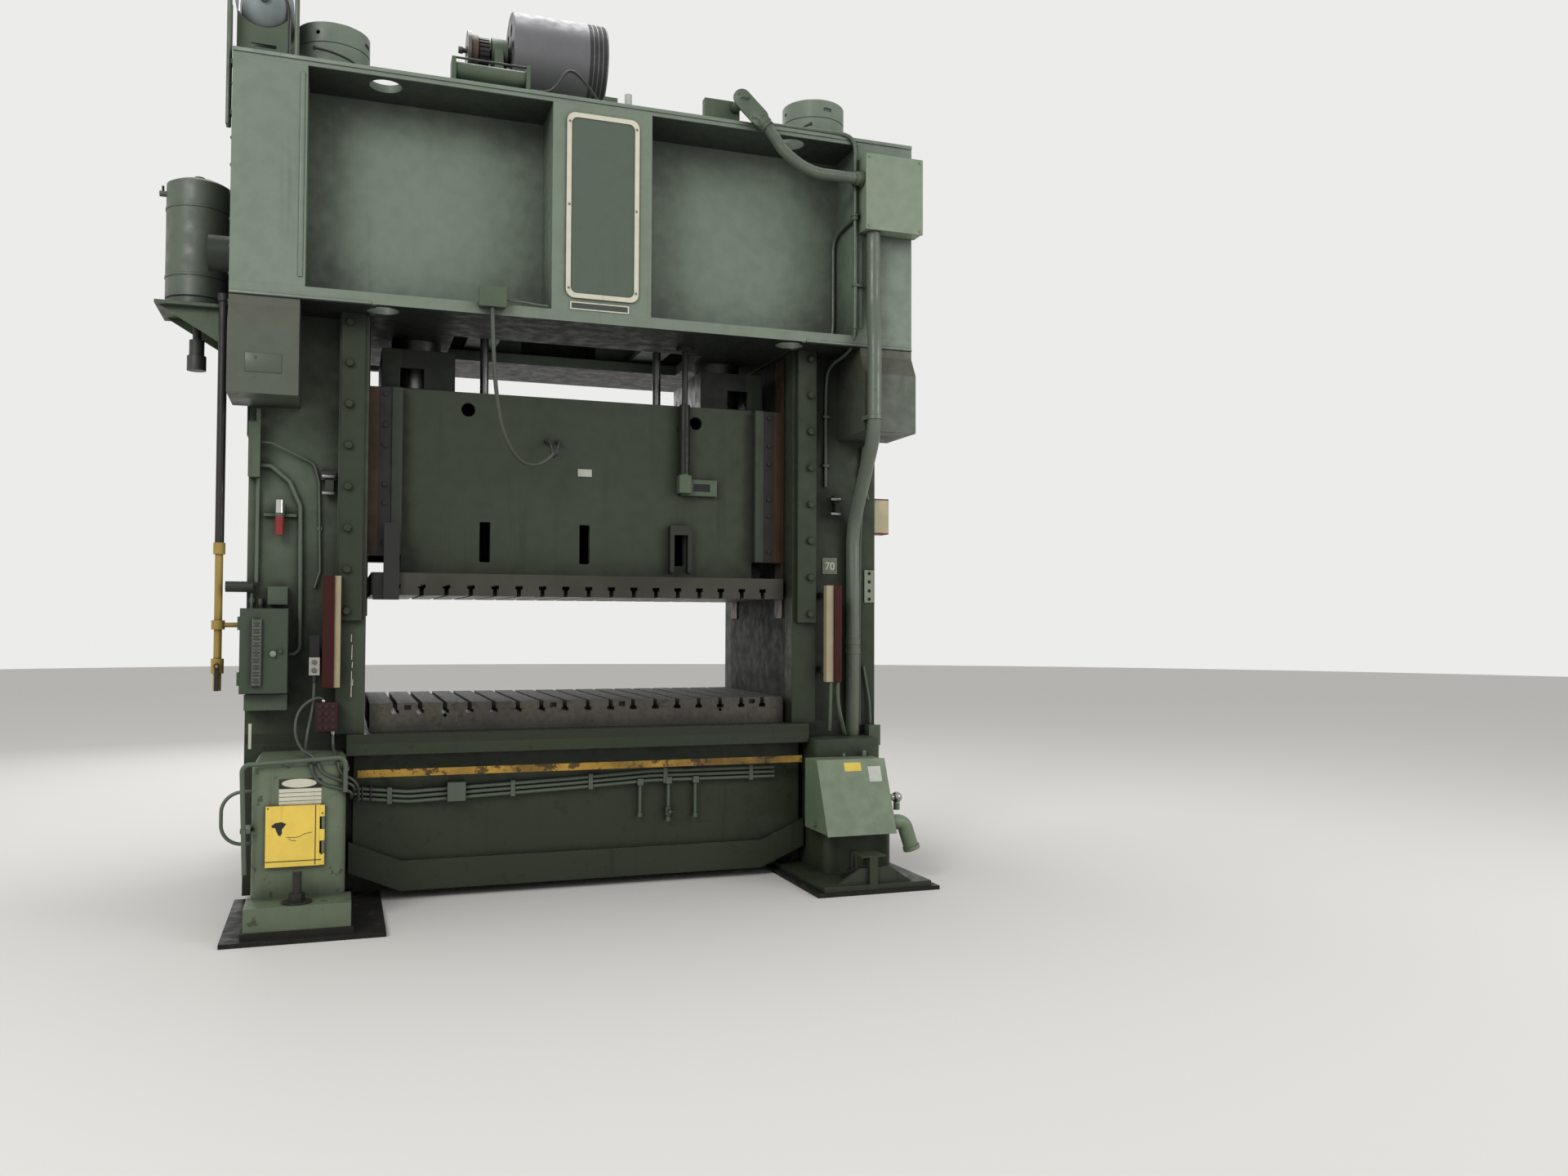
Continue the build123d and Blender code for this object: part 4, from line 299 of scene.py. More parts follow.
def makeFinish(name, **changes):
    spec = dict(plainFinish, **changes)
    material = bpy.data.materials.new(name)
    material.use_nodes = True
    tree = material.node_tree
    surface = tree.nodes["Principled BSDF"]
    mottle = useGroup(tree, "mottle", Broad_Scale=spec["broadScale"], Fine_Scale=spec["fineScale"])
    colour, shade = tone(*spec["colour"]), tone(*spec["shade"])
    rough, metal = spec["rough"], spec["metal"]
    colour = mixOf(tree, "RGBA", product(tree, mottle["Broad"], spec["shadeAmount"]), colour, shade)
    for zone in spec["zones"]:
        inside = useGroup(tree, "box", Low=zone["low"], High=zone["high"])["Mask"]
        colour = mixOf(tree, "RGBA", inside, colour, tone(*zone["colour"]))
        if "rough" in zone:
            rough = mixOf(tree, "FLOAT", inside, rough, zone["rough"])
        if "metal" in zone:
            metal = mixOf(tree, "FLOAT", inside, metal, zone["metal"])
    colour = layered(tree, colour, mottle["Fine"], spec["fine"], (0, 0, 0))[0]
    roughness = mathOf(tree, "ADD", rough, product(tree, mathOf(tree, "SUBTRACT", mottle["Fine"], 0.5), 0.22))
    if spec["runs"]:
        colour = layered(tree, colour, useGroup(tree, "runs")["Mask"], spec["runs"], spec["runTone"])[0]
    # lower parts darkened towards the floor: painted shade together with oil and dust
    if spec["low"]:
        lowShadeAndDirtMask = useGroup(tree, "low", Full_Below=spec["lowBelow"], Clean_Above=spec["lowAbove"])["Mask"]
        colour = layered(tree, colour, lowShadeAndDirtMask, spec["low"], spec["lowTone"])[0]
    if spec["spots"]:
        dots = useGroup(tree, "spots", Scale=spec["spotScale"], Threshold=spec["spotLimit"])["Mask"]
        colour = layered(tree, colour, dots, spec["spots"], spec["spotTone"])[0]
    # painted shade from ambient occlusion, together with dirt, darkens corners, recesses and gaps between parts
    if spec["shadeAndGrime"]:
        corner = useGroup(tree, "corner", Reach=spec["reach"])["Mask"]
        colour, shadeAndGrimeShare = layered(tree, colour, corner, spec["shadeAndGrime"], spec["shadeAndGrimeTone"])
        roughness = mathOf(tree, "ADD", roughness, product(tree, shadeAndGrimeShare, 0.12))
    # edge tone: rubbed paint, and on the bed and the left foot a lighter green that is a painted highlight
    edgeMarks = useGroup(tree, "edge", Radius=spec["edge"], Threshold=spec["edgeMarkLimit"])
    if spec["wearAndHighlight"]:
        colour, rubbedAndLit = layered(tree, colour, edgeMarks["Mask"], spec["wearAndHighlight"], spec["wearAndHighlightTone"])
        roughness = mathOf(tree, "SUBTRACT", roughness, product(tree, rubbedAndLit, 0.15), True)
    height = mathOf(tree, "ADD", mottle["Grain"], product(tree, mottle["Fine"], 0.8))
    bump = tree.nodes.new("ShaderNodeBump")
    bump.inputs["Strength"].default_value = spec["bump"]
    bump.inputs["Distance"].default_value = spec["grain"]
    join(tree, height, bump.inputs["Height"])
    join(tree, edgeMarks["Soft"], bump.inputs["Normal"])
    join(tree, bump.outputs[0], surface.inputs["Normal"])
    join(tree, colour, surface.inputs["Base Color"])
    join(tree, roughness, surface.inputs["Roughness"])
    join(tree, metal, surface.inputs["Metallic"])
    join(tree, spec["gloss"], surface.inputs["Specular IOR Level"])
    return material


# the parts share one green paint; it is written lighter on the crown and darker on the bed: painted light on the high
# parts and painted shade on the low ones
finishes = {
    "machineGreen": dict(gloss=0.2, colour=(84, 96, 80), shade=(68, 79, 62), reach=0.3, shadeAndGrime=0.8),
    "crownGreen": dict(colour=(113, 126, 112), shade=(101, 113, 97), runs=0.18, low=0.0, spots=0.15, shadeAndGrime=0.7,
        reach=0.45, edgeMarkLimit=0.62, zones=[
            # painted shade: the underside of the crown floor, then the underside of the top flange
            patch((-2.2, -1.1, 3.62), (2.2, 1.1, 3.634), (34, 38, 33)),
            patch((-1.78, -1.04, 5.028), (1.78, 1.04, 5.032), (52, 60, 52))]),
    # bed: the lighter green on its edges is a painted highlight where the flanges catch the light
    "bedGreen": dict(gloss=0.25, colour=(52, 60, 45), shade=(40, 47, 34), runs=0.75, runTone=(34, 34, 24),
        low=0.4, lowTone=(42, 46, 33), lowAbove=1.6, spots=0.8, spotLimit=0.60, wearAndHighlight=0.6,
        wearAndHighlightTone=(96, 104, 84), rough=0.36, shadeAndGrimeTone=(20, 19, 14), zones=[
            patch((-2.1, -0.86, 0.975), (2.1, 0.86, 1.04), (42, 48, 36))]),
    # left foot: the lighter green on its edges is partly a painted highlight, partly rubbed paint
    "footGreen": dict(gloss=0.4, colour=(104, 116, 94), shade=(84, 96, 74), runs=0.6, runTone=(54, 58, 44),
        low=0.2, lowAbove=0.8, lowTone=(52, 57, 42), spots=0.7, spotLimit=0.61, wearAndHighlight=0.8,
        wearAndHighlightTone=(128, 138, 118), rough=0.38),
    "rightFootGreen": dict(gloss=0.25, colour=(62, 71, 54), shade=(46, 54, 38), runs=0.7, runTone=(30, 32, 22),
        low=0.4, lowAbove=0.9, lowTone=(36, 38, 28), spots=0.6, spotLimit=0.62),
    "slideGreen": dict(gloss=0.25, colour=(57, 65, 51), shade=(47, 54, 41), runs=0.55, runTone=(42, 46, 32),
        low=0.0, spots=0.35, reach=0.3, zones=[
            patch((-1.4, -0.4, 3.236), (1.4, 0.4, 3.6), (34, 38, 32)),
            patch((-1.4, -0.61, 2.1), (-1.189, 0.61, 3.6), (52, 58, 48)),
            patch((1.189, -0.61, 2.1), (1.4, 0.61, 3.6), (58, 65, 54))]),
    "hardwareGreen": dict(gloss=0.3, colour=(84, 97, 80), shade=(66, 77, 60), edge=0.002, reach=0.06,
        shadeAndGrime=0.85, low=0.4, wearAndHighlight=0.8, edgeMarkLimit=0.5),
    "boxGreen": dict(colour=(124, 138, 118), shade=(112, 126, 106), edge=0.003, reach=0.06, low=0.0, runs=0.2,
        spots=0.2),
    "oiledPlate": dict(colour=(80, 75, 67), shade=(56, 51, 45), shadeAmount=0.9, rough=0.44, metal=0.25,
        runs=0.6, runTone=(36, 30, 25), low=0.0, spots=0.7, spotTone=(34, 29, 24), spotLimit=0.6,
        wearAndHighlightTone=(146, 142, 132), wearAndHighlight=0.7, edge=0.003, fine=0.3, broadScale=2.2, fineScale=34.0, zones=[
            patch((-1.4, -0.69, 1.2112), (1.4, 0.69, 1.214), (44, 41, 37), 0.75, 0.0)]),
    "slidePlate": dict(colour=(66, 66, 55), shade=(44, 43, 34), shadeAmount=0.9, rough=0.4, metal=0.3, runs=0.6,
        runTone=(28, 25, 20), low=0.0, spots=0.6, spotTone=(28, 25, 21), wearAndHighlightTone=(110, 104, 92), edge=0.003,
        broadScale=1.6),
    "machinedSteel": dict(colour=(150, 150, 150), shade=(120, 118, 114), metal=0.9, rough=0.34, runs=0.2,
        low=0.0, spots=0.2, wearAndHighlight=0.3, wearAndHighlightTone=(190, 190, 188), edge=0.002),
    "driveSteel": dict(colour=(112, 110, 108), shade=(86, 84, 80), metal=0.8, rough=0.36, runs=0.0, low=0.0,
        spots=0.2, wearAndHighlight=0.3, wearAndHighlightTone=(176, 176, 174), edge=0.002, zones=[
            patch((-0.742, -0.4, 5.3), (-0.693, 0.4, 6.2), (84, 68, 56), 0.5, 0.4),
            patch((-0.69, -0.4, 5.3), (-0.45, 0.4, 6.2), (56, 55, 55), 0.45, 0.6)]),
    "darkSteel": dict(colour=(42, 42, 38), shade=(30, 29, 26), metal=0.35, rough=0.45, low=0.0,
        wearAndHighlightTone=(92, 88, 80), edge=0.003),
    "soleSteel": dict(gloss=0.2, colour=(34, 33, 30), shade=(25, 24, 21), rough=0.6, low=0.0, runs=0.0,
        spots=0.7, spotLimit=0.58, spotTone=(66, 60, 50), wearAndHighlightTone=(92, 88, 80), edge=0.003),
    "gibBronze": dict(colour=(92, 60, 40), shade=(58, 40, 30), shadeAmount=0.9, metal=0.45, rough=0.4, runs=0.8,
        runTone=(34, 25, 21), low=0.0, wearAndHighlight=0.2, edge=0.002),
    "drumIron": dict(colour=(118, 117, 120), shade=(98, 97, 100), metal=0.6, rough=0.46, runs=0.0, low=0.0,
        spots=0.2, wearAndHighlight=0.3, wearAndHighlightTone=(176, 176, 178), edge=0.004),
    "beltRubber": dict(colour=(40, 40, 41), shade=(30, 30, 31), rough=0.7, runs=0.0, low=0.0, wearAndHighlight=0.0,
        edge=0.002),
    "leadSleeve": dict(colour=(74, 80, 71), shade=(54, 58, 51), rough=0.5, runs=0.0, low=0.0, wearAndHighlight=0.0,
        edge=0.001, shadeAndGrime=0.4, reach=0.03),
    "conduitGreen": dict(colour=(88, 99, 84), shade=(70, 81, 65), rough=0.42, low=0.3, edge=0.002, reach=0.06,
        runs=0.3),
    "mainConduit": dict(colour=(94, 103, 90), shade=(78, 88, 73), rough=0.36, low=0.3, lowAbove=2.6, edge=0.002,
        reach=0.06),
    "doorYellow": dict(colour=(236, 204, 88), shade=(222, 186, 66), rough=0.42, runs=0.35,
        runTone=(136, 100, 34), low=0.0, spots=0.35, spotTone=(120, 84, 26), shadeAndGrime=0.6, shadeAndGrimeTone=(70, 48, 14),
        reach=0.03, wearAndHighlightTone=(92, 70, 30), edge=0.003),
    "railYellow": dict(gloss=0.3, colour=(176, 138, 54), shade=(84, 64, 30), shadeAmount=0.9, rough=0.5,
        runs=0.9, runTone=(58, 44, 24), low=0.0, spots=0.9, spotTone=(58, 44, 26), spotScale=9.0,
        spotLimit=0.53, broadScale=3.0, edge=0.003, wearAndHighlightTone=(70, 58, 36)),
    "curtainRed": dict(gloss=0.2, colour=(58, 15, 14), shade=(46, 12, 12), rough=0.5, runs=0.15, low=0.0,
        spots=0.2, edge=0.002, reach=0.03, wearAndHighlightTone=(60, 24, 22), zones=[
            patch((-1.5848, -0.91, 1.3), (-1.54, -0.83, 2.1), (158, 148, 120)),
            patch((1.61, -0.91, 1.3), (1.6728, -0.83, 2.1), (158, 148, 120)),
            patch((-1.5848, -0.9005, 1.35), (-1.572, -0.897, 1.97), (44, 34, 30), 0.2),
            patch((1.655, -0.9005, 1.35), (1.669, -0.897, 1.96), (44, 34, 30), 0.2)]),
    "lampRed": dict(gloss=0.3, colour=(62, 15, 20), shade=(48, 12, 16), rough=0.45, low=0.0, edge=0.002,
        reach=0.03, wearAndHighlightTone=(60, 24, 22), zones=[
            patch((-1.7, -0.9, 1.0), (-1.5, -0.8806, 1.3), (44, 38, 40), 0.35)]),
    "blackPlastic": dict(colour=(26, 26, 26), shade=(19, 19, 19), rough=0.45, runs=0.0, low=0.0, edge=0.002,
        reach=0.02, wearAndHighlight=0.3, wearAndHighlightTone=(84, 84, 82)),
    "stationBody": dict(gloss=0.3, colour=(22, 22, 23), shade=(16, 16, 17), rough=0.45, runs=0.0, low=0.0,
        edge=0.002, reach=0.02, wearAndHighlight=0.3, wearAndHighlightTone=(84, 84, 82), zones=[
            patch((-1.73, -1.0, 1.39), (-1.65, -0.7, 1.509), (158, 156, 146), 0.4)]),
    "greyPlastic": dict(colour=(96, 96, 92), shade=(80, 80, 77), rough=0.4, runs=0.0, low=0.0, edge=0.001,
        reach=0.01, wearAndHighlight=0.2, wearAndHighlightTone=(140, 140, 136)),
    "paleTrim": dict(colour=(206, 203, 184), shade=(184, 180, 160), rough=0.45, runs=0.2, low=0.0, spots=0.2,
        edge=0.001, reach=0.02, wearAndHighlight=0.4, wearAndHighlightTone=(110, 106, 92)),
    "chrome": dict(colour=(196, 196, 194), shade=(172, 172, 170), metal=1.0, rough=0.18, runs=0.1, low=0.0,
        spots=0.1, edge=0.001, wearAndHighlight=0.0, reach=0.02),
}


def derived(base, *zones, **changes):
    return dict(finishes[base], zones=list(finishes[base].get("zones", [])) + list(zones), **changes)


finishes.update({
    "coverGreen": derived("crownGreen", patch((-2.2, -1.13, 3.44), (2.2, 1.13, 3.625), (78, 80, 68)),
        colour=(76, 84, 72), shade=(66, 74, 60), runs=0.35, runTone=(56, 60, 46)),
    "tankGreen": derived("crownGreen", patch((-2.2, -0.92, 5.2), (-1.86, -0.04, 5.7), (118, 128, 128)),
        patch((-2.6, -0.5, 3.2), (-2.3, -0.1, 3.679), (52, 54, 47)), colour=(88, 98, 86), shade=(76, 86, 72)),
    # left upright: a lighter copy of the column green, painted light; its patch is painted shade on the inner faces of
    # the uprights, towards the die space
    "litLeftColumnGreen": derived("machineGreen", patch((-1.41, -0.64, 1.0), (1.41, 0.64, 3.7), (24, 27, 22), 0.6),
        colour=(98, 109, 94), shade=(82, 93, 76), low=0.75, lowTone=(48, 55, 42), lowBelow=1.3, lowAbove=2.8),
    # right upright: a darker copy of the same green, painted shade, with the same painted shade patch on the inner
    # faces
    "shadedRightColumnGreen": derived("machineGreen",
        patch((-1.41, -0.64, 1.0), (1.41, 0.64, 3.7), (24, 27, 22), 0.6), colour=(56, 64, 51),
        shade=(44, 52, 39), low=0.3, lowTone=(34, 38, 29)),
    "stripGreen": derived("machineGreen", colour=(54, 62, 49), shade=(43, 51, 38), runs=0.6,
        runTone=(38, 42, 30)),
    "counterGreen": derived("hardwareGreen",
        patch((0.63, -0.62, 2.75), (0.74, -0.51, 3.3), (36, 38, 33), 0.4, 0.3),
        patch((0.745, -0.5566, 2.63), (0.875, -0.5, 2.695), (28, 32, 28), 0.2)),
    "bracketSteel": derived("darkSteel",
        patch((-0.06, -0.53, 2.7), (0.06, -0.518, 2.77), (168, 172, 158), 0.5, 0.0)),
    "boxesGreen": derived("hardwareGreen", patch((2.085, -0.565, 2.37), (2.112, -0.43, 2.65), (118, 34, 30)),
        patch((2.112, -0.565, 2.37), (2.25, -0.43, 2.65), (188, 178, 146)),
        patch((2.085, -0.565, 2.63), (2.25, -0.43, 2.65), (118, 34, 30)),
        patch((2.085, -0.565, 2.37), (2.25, -0.43, 2.39), (118, 34, 30)),
        patch((0.16, -0.95, 5.08), (0.22, -0.89, 5.25), (184, 186, 178)),
        patch((-2.21, -0.72, 1.89), (-2.04, -0.64, 1.97), (46, 48, 42)),
        patch((-1.0, -0.96, 5.255), (-0.4, -0.92, 5.28), (60, 62, 58), 0.4, 0.5),
        patch((-2.4, -0.8, 3.8), (-2.187, -0.5, 4.1), (48, 54, 46))),
    "shelfGreen": derived("hardwareGreen",
        patch((-1.945, -0.74, 2.24), (-1.87, -0.67, 2.364), (132, 44, 42), 0.35),
        patch((-1.945, -0.74, 2.386), (-1.87, -0.67, 2.47), (196, 196, 190), 0.2, 0.8),
        patch((-2.03, -0.69, 1.79), (-1.99, -0.64, 1.829), (52, 54, 50), 0.3, 0.4),
        patch((-1.7, -0.72, 2.5), (-1.57, -0.64, 2.67), (54, 60, 50)),
        patch((1.74, -0.72, 2.5), (1.82, -0.64, 2.65), (40, 44, 36))),
    "supplyPipe": derived("darkSteel", patch((-2.4, -0.7, 1.0), (-2.1, -0.5, 2.2), (158, 132, 62), 0.5, 0.0),
        colour=(30, 28, 24), shade=(22, 20, 16), metal=0.1),
    "lubeDoor": derived("hardwareGreen",
        patch((-2.038, -0.9, 1.33), (-1.998, -0.8872, 1.77), (30, 32, 27), 0.25), colour=(66, 77, 62),
        shade=(52, 61, 47)),
    "plateField": derived("paleTrim", patch((-0.3, -1.0588, 3.7), (0.3, -1.04, 5.1), (76, 89, 76)),
        patch((-0.3, -1.08, 3.7), (0.3, -1.0648, 5.1), (120, 118, 104), 0.3, 0.5)),
    "plates": derived("paleTrim", patch((-0.197, -1.06, 3.7195), (0.166, -1.05, 3.7545), (56, 64, 55)),
        patch((1.67, -0.66, 2.06), (1.81, -0.63, 2.2), (92, 104, 88)),
        patch((2.0, -0.66, 1.85), (2.1, -0.63, 2.12), (118, 128, 110))),
    "controlGreen": derived("boxGreen", patch((1.616, -1.3, 0.742), (1.735, -1.2, 0.796), (224, 196, 62)),
        patch((1.783, -1.4, 0.672), (1.873, -1.22, 0.768), (204, 208, 200)),
        patch((2.03, -1.11, 0.49), (2.12, -1.01, 0.575), (176, 178, 172), 0.2, 0.9), colour=(116, 132, 108),
        shade=(104, 120, 94), low=0.35, lowAbove=1.3, lowTone=(72, 82, 62)),
})
materials = {name: makeFinish(name, **spec) for name, spec in finishes.items()}
print("finishes made:", len(materials))

nodeFinish = {
    "crownGreen": ["crown", "tie_rod_nuts"],
    "coverGreen": ["crown_corner_covers"],
    "tankGreen": ["air_tanks"],
    "litLeftColumnGreen": ["left_upright"],
    "shadedRightColumnGreen": ["right_upright"],
    "stripGreen": ["gib_strips", "gib_strip_bolts"],
    "bedGreen": ["bed"],
    "footGreen": ["front_left_foot"],
    "rightFootGreen": ["front_right_foot", "rear_feet"],
    "slideGreen": ["slide"],
    "counterGreen": ["height_counter"],
    "hardwareGreen": ["lube_cabinet", "drive_pedestal", "drive_motor"],
    "lubeDoor": ["lube_door"],
    "boxesGreen": ["small_boxes"],
    "shelfGreen": ["brackets"],
    "boxGreen": ["junction_box"],
    "controlGreen": ["control_box"],
    "oiledPlate": ["bolster"],
    "slidePlate": ["slide_t_slot_plate"],
    "machinedSteel": ["tie_rods", "plungers", "left_pitman", "right_pitman", "left_main_gear", "right_main_gear",
                      "cross_shaft", "idler_gear", "motor_pulley"],
    "driveSteel": ["drive_shaft"],
    "darkSteel": ["slide_shoes", "anchor_bolts", "counter_rod", "supply_valve_lever", "bed_valve_handle"],
    "bracketSteel": ["slide_brackets"],
    "soleSteel": ["sole_plates"],
    "supplyPipe": ["supply_pipe"],
    "gibBronze": ["frame_guides", "slide_liners"],
    "drumIron": ["flywheel"],
    "beltRubber": ["drive_belts"],
    "leadSleeve": ["slide_cable"],
    "mainConduit": ["main_conduit", "flexible_conduit"],
    "conduitGreen": ["left_conduits", "bed_conduits"],
    "doorYellow": ["foot_door"],
    "railYellow": ["front_rail"],
    "curtainRed": ["light_curtain_bars"],
    "lampRed": ["lamp_box"],
    "stationBody": ["button_station"],
    "greyPlastic": ["upper_button", "lower_button"],
    "plateField": ["name_plate"],
    "plates": ["small_plates"],
}


for finish, names in nodeFinish.items():
    for name in names:
        nodeMaterials = nodes[name].data.materials
        nodeMaterials.clear()
        nodeMaterials.append(materials[finish])
print("frame nodes painted")


# what the pieces below are built with
def refined(name, shape, material, body="frame"):
    bmesh.ops.remove_doubles(shape, verts=shape.verts, dist=0.00001)
    bmesh.ops.recalc_face_normals(shape, faces=shape.faces)
    mesh = bpy.data.meshes.new(name)
    shape.to_mesh(mesh)
    shape.free()
    mesh.materials.append(material)
    mesh.shade_smooth()
    mesh.set_sharp_from_angle(angle=math.radians(38))
    piece = sceneAdd(bpy.data.objects.new(name, mesh))
    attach(piece, body)
    return piece


def softenEdges(shape, edges, size, steps=2):
    bmesh.ops.bevel(shape, geom=edges, offset=size, offset_type="OFFSET", segments=steps, profile=0.5,
                    affect="EDGES", material=-1, clamp_overlap=True)


def addBar(shape, low, high, soft=0.002):
    low, high = Vector(low), Vector(high)
    size = high - low
    place = Matrix.Translation((low + high) / 2) @ Matrix.Diagonal((*size, 1))
    made = bmesh.ops.create_cube(shape, size=1.0, matrix=place)["verts"]
    if soft:
        softenEdges(shape, list({edge for vert in made for edge in vert.link_edges}), min(soft, min(size) * 0.45))


def addStub(shape, start, end, radius, endRadius=None, sides=28, soft=0.0):
    start, end = Vector(start), Vector(end)
    along = end - start
    place = Matrix.Translation((start + end) / 2) @ along.to_track_quat("Z", "Y").to_matrix().to_4x4()
    made = bmesh.ops.create_cone(shape, cap_ends=True, segments=sides, radius1=radius,
                                 radius2=radius if endRadius is None else endRadius, depth=along.length,
                                 matrix=place)["verts"]
    if soft:
        rims = {edge for vert in made for edge in vert.link_edges
                if abs((edge.verts[0].co - edge.verts[1].co).normalized().dot(along.normalized())) < 0.1}
        softenEdges(shape, list(rims), soft)


def addTurned(shape, place, axis, profile, sides=36):
    # profile is pairs of radius and distance along the axis, from end to end
    turn = Matrix.Translation(place) @ Vector(axis).to_track_quat("Z", "Y").to_matrix().to_4x4()
    points = [shape.verts.new(turn @ Vector((radius, 0, along))) for radius, along in profile]
    edges = [shape.edges.new(pair) for pair in zip(points, points[1:])]
    bmesh.ops.spin(shape, geom=points + edges, cent=Vector(place), axis=Vector(axis).normalized(), dvec=(0, 0, 0),
                   angle=math.tau, steps=sides, use_merge=True, use_duplicate=False)


def centreLine(name, points):
    # smooth line through the air, with the route's own points as its control points
    curve = bpy.data.curves.new(name, "CURVE")
    curve.dimensions = "3D"
    curve.resolution_u = 12
    spline = curve.splines.new("NURBS")
    spline.points.add(len(points) - 1)
    for point, place in zip(spline.points, points):
        point.co = (*place, 1.0)
    spline.order_u = 3
    spline.use_endpoint_u = True
    return curve


def meshOfCurve(curve):
    holder = bpy.data.objects.new("holder", curve)
    mesh = bpy.data.meshes.new_from_object(holder)
    bpy.data.objects.remove(holder)
    return mesh


def linePoints(curve):
    mesh = meshOfCurve(curve)
    points = [vert.co.copy() for vert in mesh.vertices]
    bpy.data.meshes.remove(mesh)
    return points


def tubeMesh(name, points, radius, material, sides=10):
    curve = centreLine(name, points)
    path = linePoints(curve)
    curve.bevel_depth = radius
    curve.bevel_resolution = sides // 2
    curve.use_fill_caps = True
    mesh = meshOfCurve(curve)
    bpy.data.curves.remove(curve)
    mesh.name = name
    mesh.materials.clear()
    mesh.materials.append(material)
    mesh.shade_smooth()
    return sceneAdd(bpy.data.objects.new(name, mesh)), path


def tube(name, points, radius, material, body="frame"):
    piece, path = tubeMesh(name, points, radius, material)
    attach(piece, body)
    return piece


# free lead from the crown to the slide, with the two short leads to its terminals
lead = {"radius": 0.013, "branchRadius": 0.0055,
        "stretchFrom": (-0.69, -1.09, 3.66), "stretchTo": (-0.69, -1.09, 2.99),
        "route": [(-0.692, -1.092, 3.6687), (-0.684, -1.085, 3.43), (-0.658, -1.04, 3.14), (-0.602, -0.96, 2.9),
                  (-0.477, -0.84, 2.74), (-0.322, -0.73, 2.745), (-0.24, -0.69, 2.84)],
        "terminals": [-0.262, -0.188], "terminalHeight": 2.935, "terminalFace": -0.5648,
        "joint": ((-0.263, -0.704, 2.82), (-0.211, -0.67, 2.87)), "nut": (-0.246, -0.692, 2.812),
        "nutAxis": (0.15, 0.05, 0.6),
        "nutProfile": [(0.0, 0), (0.0155, 0), (0.018, 0.012), (0.018, 0.03), (0.0, 0.03)],
        "branchFrom": (-0.249, -0.685, 2.855), "branchPitch": 0.024, "branchLift": -0.672}


def makeLead():
    sleeve = materials["leadSleeve"]
    main, path = tubeMesh("hangingLead", lead["route"], lead["radius"], sleeve, 12)
    joint = bmesh.new()
    addBar(joint, *lead["joint"], 0.009)
    addTurned(joint, lead["nut"], lead["nutAxis"], lead["nutProfile"], 20)
    jointPiece = refined("leadJoint", joint, materials["blackPlastic"], "slide")
    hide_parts("slide_cable")
    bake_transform(main)
    height = lead["terminalHeight"]
    startX, startY, startZ = lead["branchFrom"]
    for i, x in enumerate(lead["terminals"]):
        route = [(startX + lead["branchPitch"] * i, startY, startZ), (x, lead["branchLift"], height),
                 (x, lead["terminalFace"], height)]
        branch, path = tubeMesh("branchLead%d" % (i + 1), route, lead["branchRadius"], sleeve, 8)
        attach(branch, "slide")


makeLead()
print("hanging lead made")


# ribbed flexible conduit from the pull box on the crown to the junction box, with its slanted fitting
flex = {"radius": 0.0385, "ribs": 96, "ribHeight": 0.0016,
        "route": [(1.085, -1.1225, 5.04), (1.13, -1.122, 4.99), (1.21, -1.12, 4.88), (1.4, -1.12, 4.772),
                  (1.6, -1.12, 4.772), (1.735, -1.12, 4.772)],
        "fitting": ((0.93, -1.07, 5.222), (1.045, -1.11, 5.088)), "facing": (-0.25, -1.0, -0.25),
        "bodyRadius": 0.053, "bodyThick": 0.06, "lidRadius": 0.057, "lidThick": 0.008,
        "boxNut": (1.7838, -1.12, 4.772),
        "boxNutProfile": [(0.0, 0), (0.054, 0), (0.054, 0.016), (0.047, 0.018), (0.047, 0.05), (0.042, 0.056),
                          (0.0, 0.056)],
        "collarProfile": [(0.0, -0.02), (0.04, -0.02), (0.044, 0.012), (0.052, 0.016), (0.052, 0.05),
                          (0.047, 0.054), (0.047, 0.075), (0.0, 0.075)],
        "inlet": ((0.918, -1.06, 5.2), (0.918, -0.9502, 5.2)), "inletRadius": 0.033}


def addAlong(shape, points, radiusAt, sides=24):
    # skin of rings set square to a line
    loops = []
    up = Vector((0, 1, 0))
    for i, place in enumerate(points):
        ahead = (points[min(i + 1, len(points) - 1)] - points[max(i - 1, 0)]).normalized()
        side = up.cross(ahead).normalized()
        turn = Matrix.Translation(place) @ Matrix((side, ahead.cross(side), ahead)).transposed().to_4x4()
        ring = bmesh.ops.create_circle(shape, cap_ends=False, radius=radiusAt(i), segments=sides, matrix=turn)["verts"]
        loops.append(list({edge for vert in ring for edge in vert.link_edges}))
    for first, second in zip(loops, loops[1:]):
        bmesh.ops.bridge_loops(shape, edges=first + second)
    for loop in (loops[0], loops[-1]):
        bmesh.ops.contextual_create(shape, geom=loop)


def addStadium(shape, start, end, radius, thick, out):
    # plate with round ends, square to the way it faces
    half = out * thick / 2
    for place in (start, end):
        addStub(shape, place - half, place + half, radius, None, 32, 0.002)
    along = end - start
    turn = Matrix((along.cross(out).normalized(), out, along.normalized())).transposed().to_4x4()
    place = Matrix.Translation((start + end) / 2) @ turn @ Matrix.Diagonal((2 * radius, thick, along.length, 1))
    bmesh.ops.create_cube(shape, size=1.0, matrix=place)


def evenPoints(points, count):
    # the same line with points an equal way apart
    gaps = [(b - a).length for a, b in zip(points, points[1:])]
    step = sum(gaps) / (count - 1)
    result, gone, i = [points[0]], 0.0, 0
    for k in range(1, count - 1):
        while i < len(gaps) - 1 and gone + gaps[i] < k * step:
            gone += gaps[i]
            i += 1
        result.append(points[i].lerp(points[i + 1], (k * step - gone) / max(gaps[i], 1e-9)))
    return result + [points[-1]]


